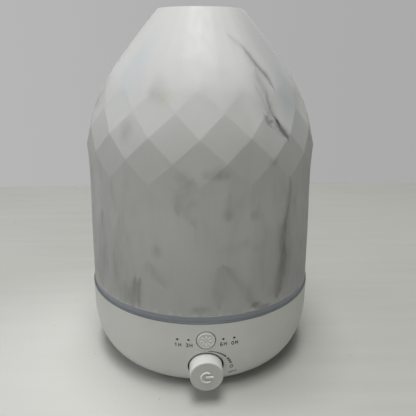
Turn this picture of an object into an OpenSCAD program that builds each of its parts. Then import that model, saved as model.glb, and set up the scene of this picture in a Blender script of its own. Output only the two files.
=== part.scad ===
// Table-top cool mist humidifier: a bowl-shaped base with the fan, the boards and the
// ultrasonic disc, an open water tank with a chimney lid, and a faceted lift-off cover.
// Origin: centre of the foot ring on the table. +Z is up, and the control panel faces -Y.

/* [Base housing] */
// Outside diameter of the base
base_d = 180; // [172:1:188]
// Height of the top edge of the base above the table
base_h = 61; // [58:0.5:66]
// Wall thickness of the base housing
base_wall = 2.5; // [2:0.1:3]
// Distance that the underside curves in below the straight wall
bowl_in = 22; // [19:0.5:24]
// Height of the curved underside
bowl_h = 40; // [36:1:44]
// Width and height of the bevel on the top edge
edge_bevel = 0.6; // [0.3:0.1:1]
// Thickness of the screwed bottom cover
plate_t = 2.5; // [2.2:0.1:3.5]
// Distance from the foot of the bowl's curve in to the bottom cover's rim
plate_set = 1.8; // [1:0.1:3]
// Radial width of the flange that the bottom cover is screwed to
flange_w = 8.5; // [7.5:0.5:10]
// Thickness of that flange
flange_t = 2.5; // [2:0.1:3.5]
// Height of the screw bosses on that flange
flange_boss_h = 11; // [9:0.5:14]
// Radial width of the ledge that carries the tank
ledge_w = 7; // [6.4:0.1:8]
// Thickness of that ledge
ledge_t = 2.5; // [2:0.1:3.5]

/* [Foot ring] */
// Height of the rubber foot ring, which is the gap under the base
foot_gap = 1.5; // [1:0.1:3]
// Distance from the housing's flange in to the foot ring
foot_set = 0.5; // [0.2:0.1:3]
// Radial width of the foot ring
foot_w = 5.5; // [3:0.5:7]

/* [Light ring] */
// Distance that the translucent ring stands back from the base
ring_set = 1; // [0.5:0.1:1.6]
// Height of its visible band
ring_h = 4.5; // [3.5:0.1:6]
// Height of the lip that the cover drops over
lip_h = 4; // [3:0.5:6]
// Thickness of that lip
lip_w = 3; // [2:0.1:4]
// Depth of the lamp space between the tank flange and the top edge of the base
lamp_space = 4; // [3.8:0.1:5]
// Height of the posts under the lamp board
lamp_post_h = 2.4; // [2.2:0.1:2.8]
// Number of lamps under the ring
ring_lamps = 12; // [6:1:18]

/* [Cover] */
// Height of the cover
cover_h = 203; // [195:1:215]
// Wall thickness of the cover
cover_wall = 2.6; // [2:0.1:3.5]
// Distance that the cover leans in up to where the facets begin, on the radius
waist_in = 1.7; // [0.8:0.1:2.4]
// Diameter of the mist opening at the top
mouth_d = 62.6; // [56:0.2:68]
// Angle that the cover is turned on its seat
cover_turn = -2.8; // [-45:0.1:45]

/* [Facets] */
// Number of facets around the cover
facet_count = 16; // [14:2:20]
// Rows of facet corners above the lowest row
facet_rows = 4; // [3:1:5]
// Height between two rows of facet corners
facet_h = 15.4; // [14:0.1:17]
// Height of the lowest row of corners above the cover's lower edge
facet_z = 91.7; // [85:0.5:100]
// Distance that the second row of corners stands back from the lower edge, on the radius
crown_in = 1.1; // [0.6:0.1:1.6]
// Distance that the foot of the cone stands out of the top row's facets, on the radius
cone_out = 1.3; // [0:0.1:2]
// Height over which the facets fade into the plain wall
facet_fade = 22; // [15:1:30]

/* [Water tank] */
// Distance from the inside of the base to the side of the tank
tank_set = 7.5; // [7:0.1:9]
// Height of the tank above its seat
tank_h = 117; // [110:1:122]
// Wall thickness of the tank
tank_wall = 2; // [1.6:0.1:2.5]
// Outside diameter of the air riser in the tank
riser_d = 28; // [26:0.5:29]
// Wall thickness of the air riser
riser_wall = 1.6; // [1.2:0.1:2]
// Gap between the top of the riser and the tank's rim
riser_drop = 6; // [4:0.5:12]

/* [Lid and chimney] */
// Distance that the lid stands out over the tank
lid_over = 2; // [1.5:0.1:2.5]
// Wall thickness of the lid
lid_wall = 2; // [1.6:0.1:2.5]
// Depth of the skirt inside the tank
lid_skirt = 8; // [5:0.5:12]
// Rise of the lid from its flange to the chimney
lid_rise = 22; // [14:1:28]
// Outside diameter of the chimney
chimney_d = 44; // [36:1:46]
// Distance from the top of the cover down to the top of the chimney
chimney_drop = 13.5; // [11:0.5:20]
// Thickness of the silicone ring under the lid
lid_seal_t = 0.8; // [0.6:0.1:1.5]
// Height of the sleeve of the mist nozzle
nozzle_sleeve = 8; // [5:0.5:12]
// Height of the cone on top of the nozzle
nozzle_cone = 6; // [4:0.5:8]
// Diameter of the nozzle's outlet
nozzle_d = 32; // [26:1:33]

/* [Front panel] */
// Distance from the top edge of the base down to the button and the row of lamps
button_drop = 13.6; // [12:0.2:15]
// Distance from the button down to the knob's axis
knob_drop = 23.2; // [20:0.2:24]
// Distance from the front of the base to the front of the control board
board_inset = 23; // [22:0.5:26]
// Distance from the button to the inner pair of lamps
lamp_x1 = 12.3; // [11.5:0.1:14]
// Distance from the button to the outer pair of lamps
lamp_x2 = 20.2; // [18.5:0.1:22]
// Diameter of a lamp window
lamp_d = 1.9; // [1.6:0.1:2.4]
// Depth of a lamp window's face below the panel
lamp_recess = 0.9; // [0.2:0.1:1]

/* [Knob] */
// Diameter of the knob's face
knob_d = 23.4; // [20:0.2:25]
// Taper of the knob from its face to its open end, on the radius
knob_taper = 0.4; // [0:0.1:0.8]
// Distance that the knob's face stands out beyond the base
knob_out = 10; // [7:0.5:13]
// Wall thickness of the knob
knob_wall = 1.5; // [1.2:0.1:2]
// Thickness of the knob's face
knob_face_t = 2; // [1.6:0.1:3]
// Rounding of the knob's front edge
knob_round = 0.9; // [0.3:0.1:1.4]
// Gap between the knob and its well, on the radius
knob_gap = 0.9; // [0.4:0.1:1.2]
// Wall thickness of the knob's well
well_wall = 1.8; // [1.2:0.1:2.4]
// Diameter of the raised ring on the knob's face, at the middle of its line
mark_d = 7.8; // [6:0.2:9]
// Width of that ring's line
mark_line = 0.9; // [0.6:0.1:1.2]
// Height of the raised mark on the knob
mark_h = 0.4; // [0.2:0.1:0.6]

/* [Mist control] */
// Diameter of the potentiometer's shaft
shaft_d = 6; // [5:0.5:6.5]
// Diameter of the potentiometer's body
pot_d = 16.4; // [15:0.2:18]
// Depth of the potentiometer's body
pot_t = 9; // [7:0.5:10]
// Diameter of its threaded neck
neck_d = 7.4; // [7.2:0.1:8]
// Length of that neck
neck_l = 6.5; // [5:0.5:7]
// Distance across the flats of the nut on the neck
nut_af = 10; // [9.5:0.5:12]
// Thickness of that nut
nut_t = 2; // [1.5:0.1:2.5]

/* [Button] */
// Diameter of the button's cap
button_d = 12.9; // [11:0.1:14]
// Distance that the cap stands out beyond the base
button_out = 0.3; // [0.1:0.1:1]
// Height of the raised rim and petals on the cap
relief_h = 0.25; // [0.1:0.05:0.4]
// Width of the raised rim
rim_line = 0.8; // [0.5:0.1:1.2]
// Width of a petal
petal_w = 1; // [0.6:0.1:1.2]
// Depth of the cap
button_l = 6.3; // [5:0.1:8]
// Travel of the button
button_travel = 0.8; // [0.5:0.1:1]
// Gap around the cap, on the radius
button_gap = 0.6; // [0.3:0.1:0.7]
// Width across the cap's two ears
ear_span = 16.4; // [15.6:0.1:17]
// Height of an ear
ear_h = 6; // [4:0.5:7]
// Thickness of an ear
ear_t = 1.2; // [1:0.1:1.6]
// Diameter of the cap's stem
stem_d = 4; // [3:0.1:5]

/* [Fan] */
// Side of the fan's frame
fan_side = 40; // [38:1:42]
// Depth of the fan
fan_t = 10; // [9:0.5:14]
// Distance from the housing's flange to the side of the fan
fan_set = 4; // [3:0.5:6]
// Height of the posts under the fan
fan_post_h = 8; // [6:0.5:10]
// Distance between the centres of two neighbouring fan screws
fan_pitch = 32; // [31:0.5:33]
// Number of blades
blades = 7; // [5:2:11]
// Pitch angle of a blade
blade_pitch = 35; // [20:1:45]
// Diameter of the fan's hub
hub_d = 21; // [19:0.5:22]
// Diameter of the fan's shaft
fan_shaft_d = 2; // [1.5:0.1:2.5]
// Diameter of the air filter
filter_d = 35; // [30:1:36]
// Thickness of the air filter
filter_t = 4; // [2:0.5:5]

/* [Mist disc] */
// Diameter of the ultrasonic disc
disc_d = 20; // [16:1:22]
// Thickness of the disc
disc_t = 1.2; // [0.8:0.1:1.6]
// Distance from the centre of the base to the disc's axis
disc_x = 18; // [17:0.5:20]
// Diameter of the water opening above the disc
disc_window = 17; // [14:0.5:18]
// Thickness of the rubber ring's lips
seal_lip = 1.1; // [0.8:0.1:1.5]
// Thickness of the clamp plate
clamp_t = 1.5; // [1:0.1:2]
// Number of screws through the clamp plate
clamp_screws_n = 3; // [3:1:4]

/* [Circuit boards] */
// Thickness of a circuit board
board_t = 1.6; // [1.2:0.1:2]
// Distance from the housing's flange to the main board
main_set = 10; // [9:0.5:11]
// Length of the main board along X
main_x = 54; // [52:1:54]
// Length of the main board along Y
main_y = 62; // [62:1:66]
// Height of the posts under the main board
main_post_h = 6; // [4:0.5:8]
// Width of the control board
control_w = 54; // [52:1:60]
// Height of the control board
control_h = 38; // [37:0.5:39]
// Height of the heat sink
sink_h = 25; // [18:1:28]

/* [Power inlet] */
// Height of the inlet's axis above the table
inlet_z = 24; // [22:0.5:28]
// Diameter of the inlet's mouth
inlet_d = 7.2; // [6.8:0.1:7.4]
// Depth of the mouth in front of the contact pin
inlet_l = 3; // [2:0.1:4]
// Depth of the narrower socket behind the mouth
socket_l = 8; // [6:0.5:10]
// Diameter of the inlet's threaded barrel
barrel_d = 11; // [10:0.2:12]
// Depth of the flat seat behind the outside of the base
inlet_recess = 5.6; // [4:0.1:6.4]
// Diameter of the recess around the inlet
recess_d = 17; // [16:0.5:19]

/* [Fasteners] */
// Diameter of a screw's shank
screw_d = 2.6; // [2.2:0.1:2.8]
// Diameter of a screw's head
screw_head_d = 5.2; // [4.6:0.1:5.4]
// Height of a screw's head
screw_head_h = 1.4; // [1.2:0.1:1.5]
// Number of screws through the bottom cover
plate_screws = 4; // [3:1:6]
// Number of screws through the tank's flange
tank_screws_n = 6; // [6:6:12]

/* [Clearances] */
// Gap between a moving part and its guide, on the radius
run_gap = 0.05; // [0.02:0.01:0.1]
// Gap between pieces that drop into each other, on the radius
drop_gap = 0.5; // [0.3:0.1:0.6]
// Gap between fixed pieces, on the radius
seat_gap = 0.3; // [0.1:0.05:0.4]

/* [Hidden] */
$fn = 96;
eps = 0.1;

// Radii and heights that follow from the sizes above
base_r = base_d / 2;
inner_r = base_r - base_wall;
curve_z = foot_gap + bowl_h;
floor_z = foot_gap + plate_t;
flange_z = floor_z + flange_t;
plate_r = base_r - bowl_in - plate_set;
flange_out = plate_r + seat_gap;
flange_in = flange_out - flange_w;
foot_r = flange_in - foot_set;
plate_screw_r = flange_out - flange_w / 2;
boss_r = screw_d / 2 + 2.1;
pilot_r = screw_d / 2 + 0.05;
hole_r = screw_d / 2 + 0.3;
head_r = screw_head_d / 2;

tank_r = inner_r - tank_set;
seat_z = base_h - lamp_space - tank_wall;
tank_floor = seat_z + tank_wall;
tank_top = seat_z + tank_h;
tank_flange_r = inner_r - seat_gap;
ledge_in = inner_r - ledge_w;
tank_screw_r = inner_r - ledge_w / 2;
riser_r = riser_d / 2;
wire_angle = 45;
wire_hole_r = 2.5;

ring_r = base_r - ring_set;
ring_top = base_h + ring_h;
ring_in = tank_r + 1.3;
ring_under = base_h + 0.8;
cover_r = ring_r;
waist_r = cover_r - waist_in;
crown_r = cover_r - crown_in;
lip_r = cover_r - cover_wall - drop_gap;
lamp_board_t = 1;
lamp_board_z = tank_floor + lamp_post_h;
lamp_board_in = ring_in + seat_gap;
lamp_board_out = tank_flange_r - 0.6;
lamp_r = (lamp_board_in + lamp_board_out) / 2;
lamp_post_r = 1.2;

cover_z = ring_top;
cover_top = ring_top + cover_h;
mouth_r = mouth_d / 2;

lid_z = tank_top + lid_seal_t;
lid_r = tank_r + lid_over;
skirt_r = tank_r - tank_wall - drop_gap;
chimney_r = chimney_d / 2;
chimney_top = cover_top - chimney_drop;

button_z = base_h - button_drop;
knob_z = button_z - knob_drop;
board_y = base_r - board_inset;
well_floor = board_y + pot_t;
well_floor_t = 1.6;
knob_r = knob_d / 2;
knob_face = base_r + knob_out;
knob_end = well_floor + well_floor_t + 0.8;
well_r = knob_r + knob_taper + knob_gap;
neck_end = well_floor + neck_l;
hub_end = neck_end + 1.5;
knob_hub_r = shaft_d / 2 + 1.6;
shaft_end = knob_face - knob_face_t - 1;
flat_x = shaft_d / 2 - 0.6;

cap_r = button_d / 2;
cap_hole_r = cap_r + button_gap;
cap_face = base_r + button_out;
cap_back = cap_face - button_l;
ear_face = wall_y(inner_r, ear_span / 2) - seat_gap;
guide_r = cap_hole_r + 1.3;
guide_end = ear_face - ear_t - button_travel - 0.6;
switch_side = 6;
switch_t = 3.5;
switch_face = board_y + switch_t;
plunger_r = 1.7;
plunger_out = 1;
pipe_r = lamp_d / 2 - run_gap;
bar_y = board_y + 11;
bar_t = 2;
bar_h = stem_d + 4.4;
led_t = 1.1;
control_z = button_z + 4.6 - control_h;
control_screw_x = control_w / 2 - 3;
control_screw_z = (knob_z + button_z) / 2 + 2;

fan_x = flange_in - fan_set - fan_side / 2;
fan_z = floor_z + fan_post_h;
fan_top = fan_z + fan_t;
fan_bore = fan_side / 2 - 1.2;
duct_flange_t = 2;
duct_z = fan_top + duct_flange_t;
duct_r0 = fan_bore - 1.5;
duct_r1 = riser_r + seat_gap;
duct_wall = 1.6;
collar_z = seat_z - 6;
duct_top = seat_z - 3;
cup_z = fan_z + 2;
cup_top = fan_top - 0.6;

seal_r = disc_d / 2 + 2.5;
disc_slot = disc_t + 0.2;
seal_h = disc_slot + 2 * seal_lip;
clamp_z = seat_z - seal_h;
disc_z = clamp_z + seal_lip + 0.1;
clamp_boss_r = 2.4;
clamp_screw_r = seal_r + seat_gap + clamp_boss_r;

main_x0 = flange_in - main_set - main_x;
main_y0 = 1 - main_y / 2;
main_z = floor_z + main_post_h;
main_top = main_z + board_t;
plug_h = 6.4;
plug_top = main_top + plug_h;

inlet_seat = base_r - inlet_recess;
inlet_pad = 2.6;
inlet_flange_t = 1.5;
inlet_mouth = inlet_seat + inlet_flange_t;
inlet_end = inlet_mouth - inlet_l - socket_l - 2;
socket_r = inlet_d / 2 - 0.4;

// Colours of the pieces
white_plastic = [0.87, 0.87, 0.84];
tank_plastic = [0.8, 0.84, 0.86];
smoke_blue = [0.4, 0.43, 0.5];
marble_white = [0.82, 0.83, 0.82];
dark_rubber = [0.12, 0.12, 0.12];
silicone = [0.75, 0.76, 0.74];
board_green = [0.07, 0.3, 0.16];
black_plastic = [0.06, 0.06, 0.07];
steel = [0.7, 0.71, 0.72];
brass = [0.8, 0.62, 0.3];
copper = [0.72, 0.42, 0.22];
aluminium = [0.75, 0.76, 0.78];
cream_plug = [0.9, 0.88, 0.8];

// Places children once per step around the Z axis
module around(count, radius, start = 0) {
    for (i = [0 : count - 1])
        rotate([0, 0, start + i * 360 / count])
            translate([radius, 0, 0])
                children();
}

// Turns children so that their +Z points out of the front panel
module front(x, z) {
    translate([x, 0, z])
        rotate([90, 0, 0])
            children();
}

// Turns children so that their +Z points out of the back
module back(x, z) {
    translate([x, 0, z])
        rotate([-90, 0, 0])
            children();
}

// Distance from the XZ plane to a round wall of radius r, at x
function wall_y(r, x) = sqrt(pow(r, 2) - pow(x, 2));

// Flat ring or tube around Z
module tube(r_out, r_in, z0, z1) {
    translate([0, 0, z0])
        difference() {
            cylinder(r = r_out, h = z1 - z0);
            translate([0, 0, -eps])
                cylinder(r = r_in, h = z1 - z0 + 2 * eps);
        }
}

// Solid rod along Z between two heights
module rod(r, z0, z1) {
    translate([0, 0, z0])
        cylinder(r = r, h = z1 - z0);
}

// Box given by its lowest and highest corners
module block(low, high) {
    translate(low)
        cube(high - low);
}

// Pan-head screw that points up from a head at z0
module screw_up(z0, length) {
    rod(head_r, z0, z0 + screw_head_h);
    rod(screw_d / 2, z0 + screw_head_h, z0 + screw_head_h + length);
}

// Pan-head screw that points down from the face at z0
module screw_down(z0, length) {
    rod(head_r, z0, z0 + screw_head_h);
    rod(screw_d / 2, z0 - length, z0);
}

// Square outline with round corners, centred
module round_square(side, r) {
    square([side, side - 2 * r], center = true);
    square([side - 2 * r, side], center = true);
    for (x = [-1, 1], y = [-1, 1])
        translate([x, y] * (side / 2 - r))
            circle(r = r);
}

// Quarter ellipse of the bowl: centre line at radius r, depth d, height h, from angle a0
function bowl_curve(r, d, h, a0, steps) =
    [for (i = [0 : steps])
        let (a = a0 + (90 - a0) * i / steps)
        [r - d + d * sin(a), curve_z - h * cos(a)]];
function reversed(list) = [for (i = [len(list) - 1 : -1 : 0]) list[i]];

// ---- Base housing ----

module shell_wall() {
    inner_h = bowl_h - base_wall;
    start = acos((curve_z - flange_z) / inner_h);
    rotate_extrude()
        polygon(concat(
            [[flange_out, foot_gap]],
            bowl_curve(base_r, bowl_in, bowl_h, 0, 12),
            [[base_r, base_h - edge_bevel], [base_r - edge_bevel, base_h], [inner_r, base_h]],
            reversed(bowl_curve(inner_r, bowl_in, inner_h, start, 12)),
            [[flange_in, flange_z], [flange_in, floor_z], [flange_out, floor_z]]));
}

module tank_ledge() {
    guide_floor = button_z - guide_r - 1;
    difference() {
        union() {
            tube(inner_r + eps, ledge_in, seat_z - ledge_t, seat_z);
            around(tank_screws_n, tank_screw_r)
                rod(boss_r - 0.4, seat_z - ledge_t - 7.5, seat_z - eps);
        }
        block([-guide_r - 1, -base_r, guide_floor], [guide_r + 1, -ledge_in + ledge_w, seat_z + 1]);
        rotate([0, 0, wire_angle])
            translate([tank_screw_r, 0, seat_z - 10])
                cylinder(r = wire_hole_r, h = 20);
    }
}

// Solid inside of the housing, which trims what stands on the wall
module bowl_space() {
    rotate_extrude()
        polygon(concat([[0, foot_gap]],
            bowl_curve(base_r - eps, bowl_in, bowl_h, 0, 12),
            [[base_r - eps, seat_z], [0, seat_z]]));
}

module base_shell() {
    color(white_plastic)
        difference() {
            union() {
                shell_wall();
                tank_ledge();
                around(plate_screws, plate_screw_r, 45)
                    rod(boss_r, flange_z - eps, flange_z + flange_boss_h);
                // Well around the knob, and the guide around the button
                intersection() {
                    union() {
                        front(0, knob_z)
                            rod(well_r + well_wall, well_floor, base_r);
                        front(0, button_z)
                            rod(guide_r, guide_end, base_r);
                    }
                    bowl_space();
                }
                // Bosses for the control board
                for (x = [-1, 1])
                    front(x * control_screw_x, control_screw_z)
                        rod(boss_r - 0.4, board_y, wall_y(inner_r, control_screw_x) + 0.8);
                // Pad behind the power inlet
                intersection() {
                    back(0, inlet_z)
                        rod(recess_d / 2 + 1.8, inlet_seat - inlet_pad, base_r);
                    bowl_space();
                }
            }
            around(plate_screws, plate_screw_r, 45)
                rod(pilot_r, floor_z - eps, flange_z + flange_boss_h - 1.5);
            around(tank_screws_n, tank_screw_r)
                rod(pilot_r, seat_z - ledge_t - 6.5, seat_z + eps);
            front(0, knob_z)
                rod(well_r, well_floor + well_floor_t, base_r + 2);
            front(0, knob_z)
                rod(neck_d / 2 + 0.1, well_floor - eps, base_r);
            front(0, button_z)
                rod(cap_hole_r, guide_end - eps, base_r + 2);
            // Slots in the guide for the ears
            block([-ear_span / 2 - 0.4, -inner_r + 0.4, button_z - ear_h / 2 - 0.3],
                [ear_span / 2 + 0.4, -guide_end + eps, button_z + ear_h / 2 + 0.3]);
            for (x = [-lamp_x2, -lamp_x1, lamp_x1, lamp_x2])
                front(x, button_z)
                    rod(lamp_d / 2, inner_r - 8, base_r + 1);
            for (x = [-1, 1])
                front(x * control_screw_x, control_screw_z)
                    rod(pilot_r, board_y - eps, board_y + 9);
            back(0, inlet_z)
                rod(recess_d / 2, inlet_seat, base_r + 1);
            back(0, inlet_z)
                rod(barrel_d / 2 + 0.1, inlet_seat - inlet_pad - eps, base_r);
        }
}

module intake_slots() {
    pitch = 4;
    side_slots = floor(filter_d / 2 / pitch) - 1;
    for (i = [-side_slots : side_slots]) {
        y = i * pitch;
        half = wall_y(filter_d / 2 - 2, y) - 1;
        block([-fan_x - half, y - 1, foot_gap - 1], [-fan_x + half, y + 1, floor_z + 1]);
    }
}

module bottom_cover() {
    color(white_plastic)
        difference() {
            union() {
                rod(plate_r, foot_gap, floor_z);
                fan_corners()
                    rod(boss_r - 0.7, floor_z - eps, fan_z);
                main_corners()
                    rod(boss_r - 0.6, floor_z - eps, main_z);
                translate([-fan_x, 0, 0])
                    tube(filter_d / 2 + 1.5, filter_d / 2 + seat_gap, floor_z - eps, floor_z + 3);
            }
            intake_slots();
            around(plate_screws, plate_screw_r, 45) {
                rod(hole_r, foot_gap - eps, floor_z + eps);
                rod(head_r + 0.3, foot_gap - eps, foot_gap + screw_head_h);
            }
            fan_corners()
                rod(pilot_r, floor_z, fan_z + eps);
            main_corners()
                rod(pilot_r, floor_z, main_z + eps);
        }
}

module foot_ring() {
    color(dark_rubber)
        tube(foot_r, foot_r - foot_w, 0, foot_gap);
}

module housing_screws() {
    color(steel)
        around(plate_screws, plate_screw_r, 45)
            screw_up(foot_gap, 10);
}

// ---- Light ring ----

module light_ring() {
    skirt = inner_r + 0.2;
    color(smoke_blue)
        rotate_extrude()
            polygon([[ring_in, ring_under], [skirt, ring_under], [skirt, base_h],
                [ring_r, base_h], [ring_r, ring_top], [lip_r, ring_top],
                [lip_r, ring_top + lip_h], [lip_r - lip_w, ring_top + lip_h],
                [lip_r - lip_w, ring_top], [ring_in, ring_top]]);
}

module ring_seal() {
    color(silicone)
        tube(ring_in - run_gap, tank_r + run_gap, ring_under + 0.7, ring_under + 2.7);
}

module lamp_board() {
    color(white_plastic)
        difference() {
            tube(lamp_board_out, lamp_board_in, lamp_board_z, lamp_board_z + lamp_board_t);
            around(tank_screws_n, lamp_r, 180 / tank_screws_n)
                rod(0.6, lamp_board_z - eps, lamp_board_z + lamp_board_t + eps);
        }
}

module ring_lights() {
    top = lamp_board_z + lamp_board_t;
    color([0.95, 0.9, 0.6])
        around(ring_lamps, lamp_r, 15)
            block([-1.4, -1.75, top], [1.4, 1.75, top + 0.7]);
}

// ---- Water tank ----

module water_tank() {
    color(tank_plastic)
        difference() {
            union() {
                rotate_extrude()
                    polygon([[0, seat_z], [tank_flange_r, seat_z], [tank_flange_r, tank_floor],
                        [tank_r, tank_floor], [tank_r, tank_top], [tank_r - tank_wall, tank_top],
                        [tank_r - tank_wall, tank_floor], [0, tank_floor]]);
                translate([-fan_x, 0, 0])
                    rod(riser_r, collar_z, tank_top - riser_drop);
                clamp_corners()
                    rod(clamp_boss_r, clamp_z, seat_z + eps);
                around(tank_screws_n, lamp_r, 180 / tank_screws_n)
                    rod(lamp_post_r, tank_floor - eps, lamp_board_z);
            }
            translate([-fan_x, 0, 0])
                rod(riser_r - riser_wall, collar_z - 1, tank_top);
            translate([disc_x, 0, 0])
                rod(disc_window / 2, seat_z - 1, tank_floor + 1);
            clamp_corners()
                rod(pilot_r - 0.3, clamp_z - eps, seat_z + 0.8);
            around(tank_screws_n, tank_screw_r)
                rod(hole_r, seat_z - eps, tank_floor + eps);
            rotate([0, 0, wire_angle])
                translate([tank_screw_r, 0, 0])
                    rod(wire_hole_r, seat_z - eps, tank_floor + eps);
        }
}

module tank_screws() {
    color(steel)
        around(tank_screws_n, tank_screw_r)
            screw_down(tank_floor, 9);
}

// ---- Ultrasonic disc ----

module clamp_corners() {
    translate([disc_x, 0, 0])
        around(clamp_screws_n, clamp_screw_r, 180 / clamp_screws_n)
            children();
}

module mist_disc() {
    color(brass)
        translate([disc_x, 0, 0])
            rod(disc_d / 2, disc_z, disc_z + disc_t);
}

module disc_seal() {
    slot_z = clamp_z + seal_lip;
    window = disc_window / 2 + 0.2;
    color(dark_rubber)
        translate([disc_x, 0, 0])
            rotate_extrude()
                polygon([[window, clamp_z], [seal_r, clamp_z], [seal_r, seat_z],
                    [window, seat_z], [window, slot_z + disc_slot],
                    [disc_d / 2 + 0.1, slot_z + disc_slot], [disc_d / 2 + 0.1, slot_z],
                    [window, slot_z]]);
}

module disc_clamp() {
    color(steel)
        difference() {
            translate([disc_x, 0, 0])
                tube(clamp_screw_r + clamp_boss_r, disc_window / 2 - 0.5, clamp_z - clamp_t, clamp_z);
            clamp_corners()
                rod(hole_r - 0.3, clamp_z - clamp_t - eps, clamp_z + eps);
        }
}

module clamp_screws() {
    head_z = clamp_z - clamp_t - screw_head_h;
    color(steel)
        clamp_corners() {
            rod(head_r - 0.4, head_z, head_z + screw_head_h);
            rod(screw_d / 2 - 0.3, head_z + screw_head_h, seat_z + 0.4);
        }
}

// ---- Fan ----

module fan_corners() {
    for (x = [-1, 1], y = [-1, 1])
        translate([-fan_x + x * fan_pitch / 2, y * fan_pitch / 2, 0])
            children();
}

module fan_frame() {
    color(black_plastic)
        difference() {
            union() {
                difference() {
                    translate([-fan_x, 0, fan_z])
                        linear_extrude(fan_t)
                            round_square(fan_side, 3);
                    translate([-fan_x, 0, 0])
                        rod(fan_bore, fan_z - eps, fan_top + eps);
                }
                translate([-fan_x, 0, 0]) {
                    rod(hub_d / 2, fan_z, fan_z + 1.2);
                    rod(fan_shaft_d / 2 + 1.3, fan_z, cup_top - 2.4);
                    for (a = [45 : 90 : 315])
                        rotate([0, 0, a])
                            block([hub_d / 2 - 1, -1.2, fan_z], [fan_bore + 1, 1.2, fan_z + 1.2]);
                }
            }
            translate([-fan_x, 0, 0])
                rod(fan_shaft_d / 2 + run_gap, fan_z + 0.8, fan_top);
            fan_corners()
                rod(hole_r, fan_z - eps, fan_top + eps);
        }
}

module fan_motor() {
    color(copper)
        translate([-fan_x, 0, 0])
            tube(hub_d / 2 - 2.2, fan_shaft_d / 2 + 1.35, fan_z + 1.2, cup_top - 2.2);
}

module fan_shaft() {
    color(steel)
        translate([-fan_x, 0, 0])
            rod(fan_shaft_d / 2, fan_z + 1, cup_top - 1.2);
}

module fan_rotor() {
    blade_r = fan_bore - 0.8;
    blade_h = (cup_top - cup_z - 1.2) / cos(blade_pitch) - 1;
    color(black_plastic)
        translate([-fan_x, 0, 0]) {
            tube(hub_d / 2, hub_d / 2 - 1.2, cup_z, cup_top);
            rod(hub_d / 2, cup_top - 1.2, cup_top);
            around(blades, (blade_r + hub_d / 2) / 2 - 0.2)
                translate([0, 0, (cup_z + cup_top) / 2])
                    rotate([blade_pitch, 0, 0])
                        cube([blade_r - hub_d / 2, 1, blade_h], center = true);
        }
}

module fan_screws() {
    color(steel)
        fan_corners()
            screw_down(duct_z, duct_flange_t + fan_t + 6);
}

module fan_duct() {
    color(white_plastic)
        difference() {
            union() {
                translate([-fan_x, 0, fan_top])
                    linear_extrude(duct_flange_t)
                        round_square(fan_side, 3);
                translate([-fan_x, 0, 0])
                    rotate_extrude()
                        polygon([[0, fan_top], [duct_r0 + duct_wall, fan_top],
                            [duct_r0 + duct_wall, duct_z], [duct_r1 + duct_wall, collar_z - 5],
                            [duct_r1 + duct_wall, duct_top], [0, duct_top]]);
            }
            translate([-fan_x, 0, 0])
                rotate_extrude()
                    polygon([[0, fan_top - eps], [duct_r0, fan_top - eps], [duct_r0, duct_z],
                        [duct_r1, collar_z - 5], [duct_r1, duct_top + eps], [0, duct_top + eps]]);
            fan_corners()
                rod(hole_r, fan_top - eps, duct_z + eps);
        }
}

module duct_gasket() {
    color(dark_rubber)
        translate([-fan_x, 0, 0])
            tube(duct_r1 + duct_wall + 0.6, duct_r1, duct_top, seat_z);
}

module air_filter() {
    color([0.25, 0.25, 0.27])
        translate([-fan_x, 0, 0])
            rod(filter_d / 2, floor_z, floor_z + filter_t);
}

// ---- Main board ----

module main_corners() {
    for (x = [4, main_x - 4], y = [4, main_y - 4])
        translate([main_x0 + x, main_y0 + y, 0])
            children();
}

module main_board() {
    color(board_green)
        difference() {
            block([main_x0, main_y0, main_z], [main_x0 + main_x, main_y0 + main_y, main_top]);
            main_corners()
                rod(hole_r, main_z - eps, main_top + eps);
        }
}

module main_board_screws() {
    color(steel)
        main_corners()
            screw_down(main_top, board_t + 4);
}

// Heat sink with the transistor on its plain side
sink_at = [main_x0 + 32, 10];
sink_l = 16;
sink_plate_t = 3;
fin_t = 1.4;
fin_l = 9;
fins = 6;

module heat_sink() {
    plate_end = sink_at + [sink_l, sink_plate_t];
    color(aluminium) {
        block([sink_at[0], sink_at[1], main_top], [plate_end[0], plate_end[1], main_top + sink_h]);
        for (i = [0 : fins - 1])
            translate([sink_at[0] + i * (sink_l - fin_t) / (fins - 1), plate_end[1] - eps, main_top])
                cube([fin_t, fin_l + eps, sink_h]);
    }
}

module power_transistor() {
    case_w = 10;
    tab_t = 1.3;
    case_t = 4.4;
    pin_w = 0.8;
    pin_pitch = 2.5;
    color(black_plastic)
        translate([sink_at[0] + sink_l / 2, sink_at[1], main_top]) {
            block([-case_w / 2, -tab_t, 3], [case_w / 2, 0, 19]);
            block([-case_w / 2, -case_t, 3], [case_w / 2, -tab_t + eps, 12]);
            for (x = [-pin_pitch, 0, pin_pitch])
                block([x - pin_w / 2, -case_t + 1, 0], [x + pin_w / 2, -case_t + 1.6, 3 + eps]);
        }
}

// Coil on a bobbin with two flanges
module drive_coil() {
    bobbin_r = 6;
    winding_r = 4.8;
    flange = 1.5;
    coil_h = 9;
    color(copper)
        translate([main_x0 + 13, 18, main_top]) {
            rod(bobbin_r, 0, flange);
            rod(winding_r, flange - eps, coil_h - flange + eps);
            rod(bobbin_r, coil_h - flange, coil_h);
        }
}

// Place from the board's left edge, radius and height of each capacitor
capacitor_list = [[34, -14, 5, 14], [24, -6, 4, 11], [43, -20, 3, 9]];

module capacitors() {
    color([0.1, 0.12, 0.3])
        for (c = capacitor_list)
            translate([main_x0 + c[0], c[1], main_top])
                cylinder(r = c[2], h = c[3]);
}

module control_chip() {
    color(black_plastic)
        translate([main_x0 + 12, -17, main_top])
            cube([10, 6, 1.7]);
}

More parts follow.
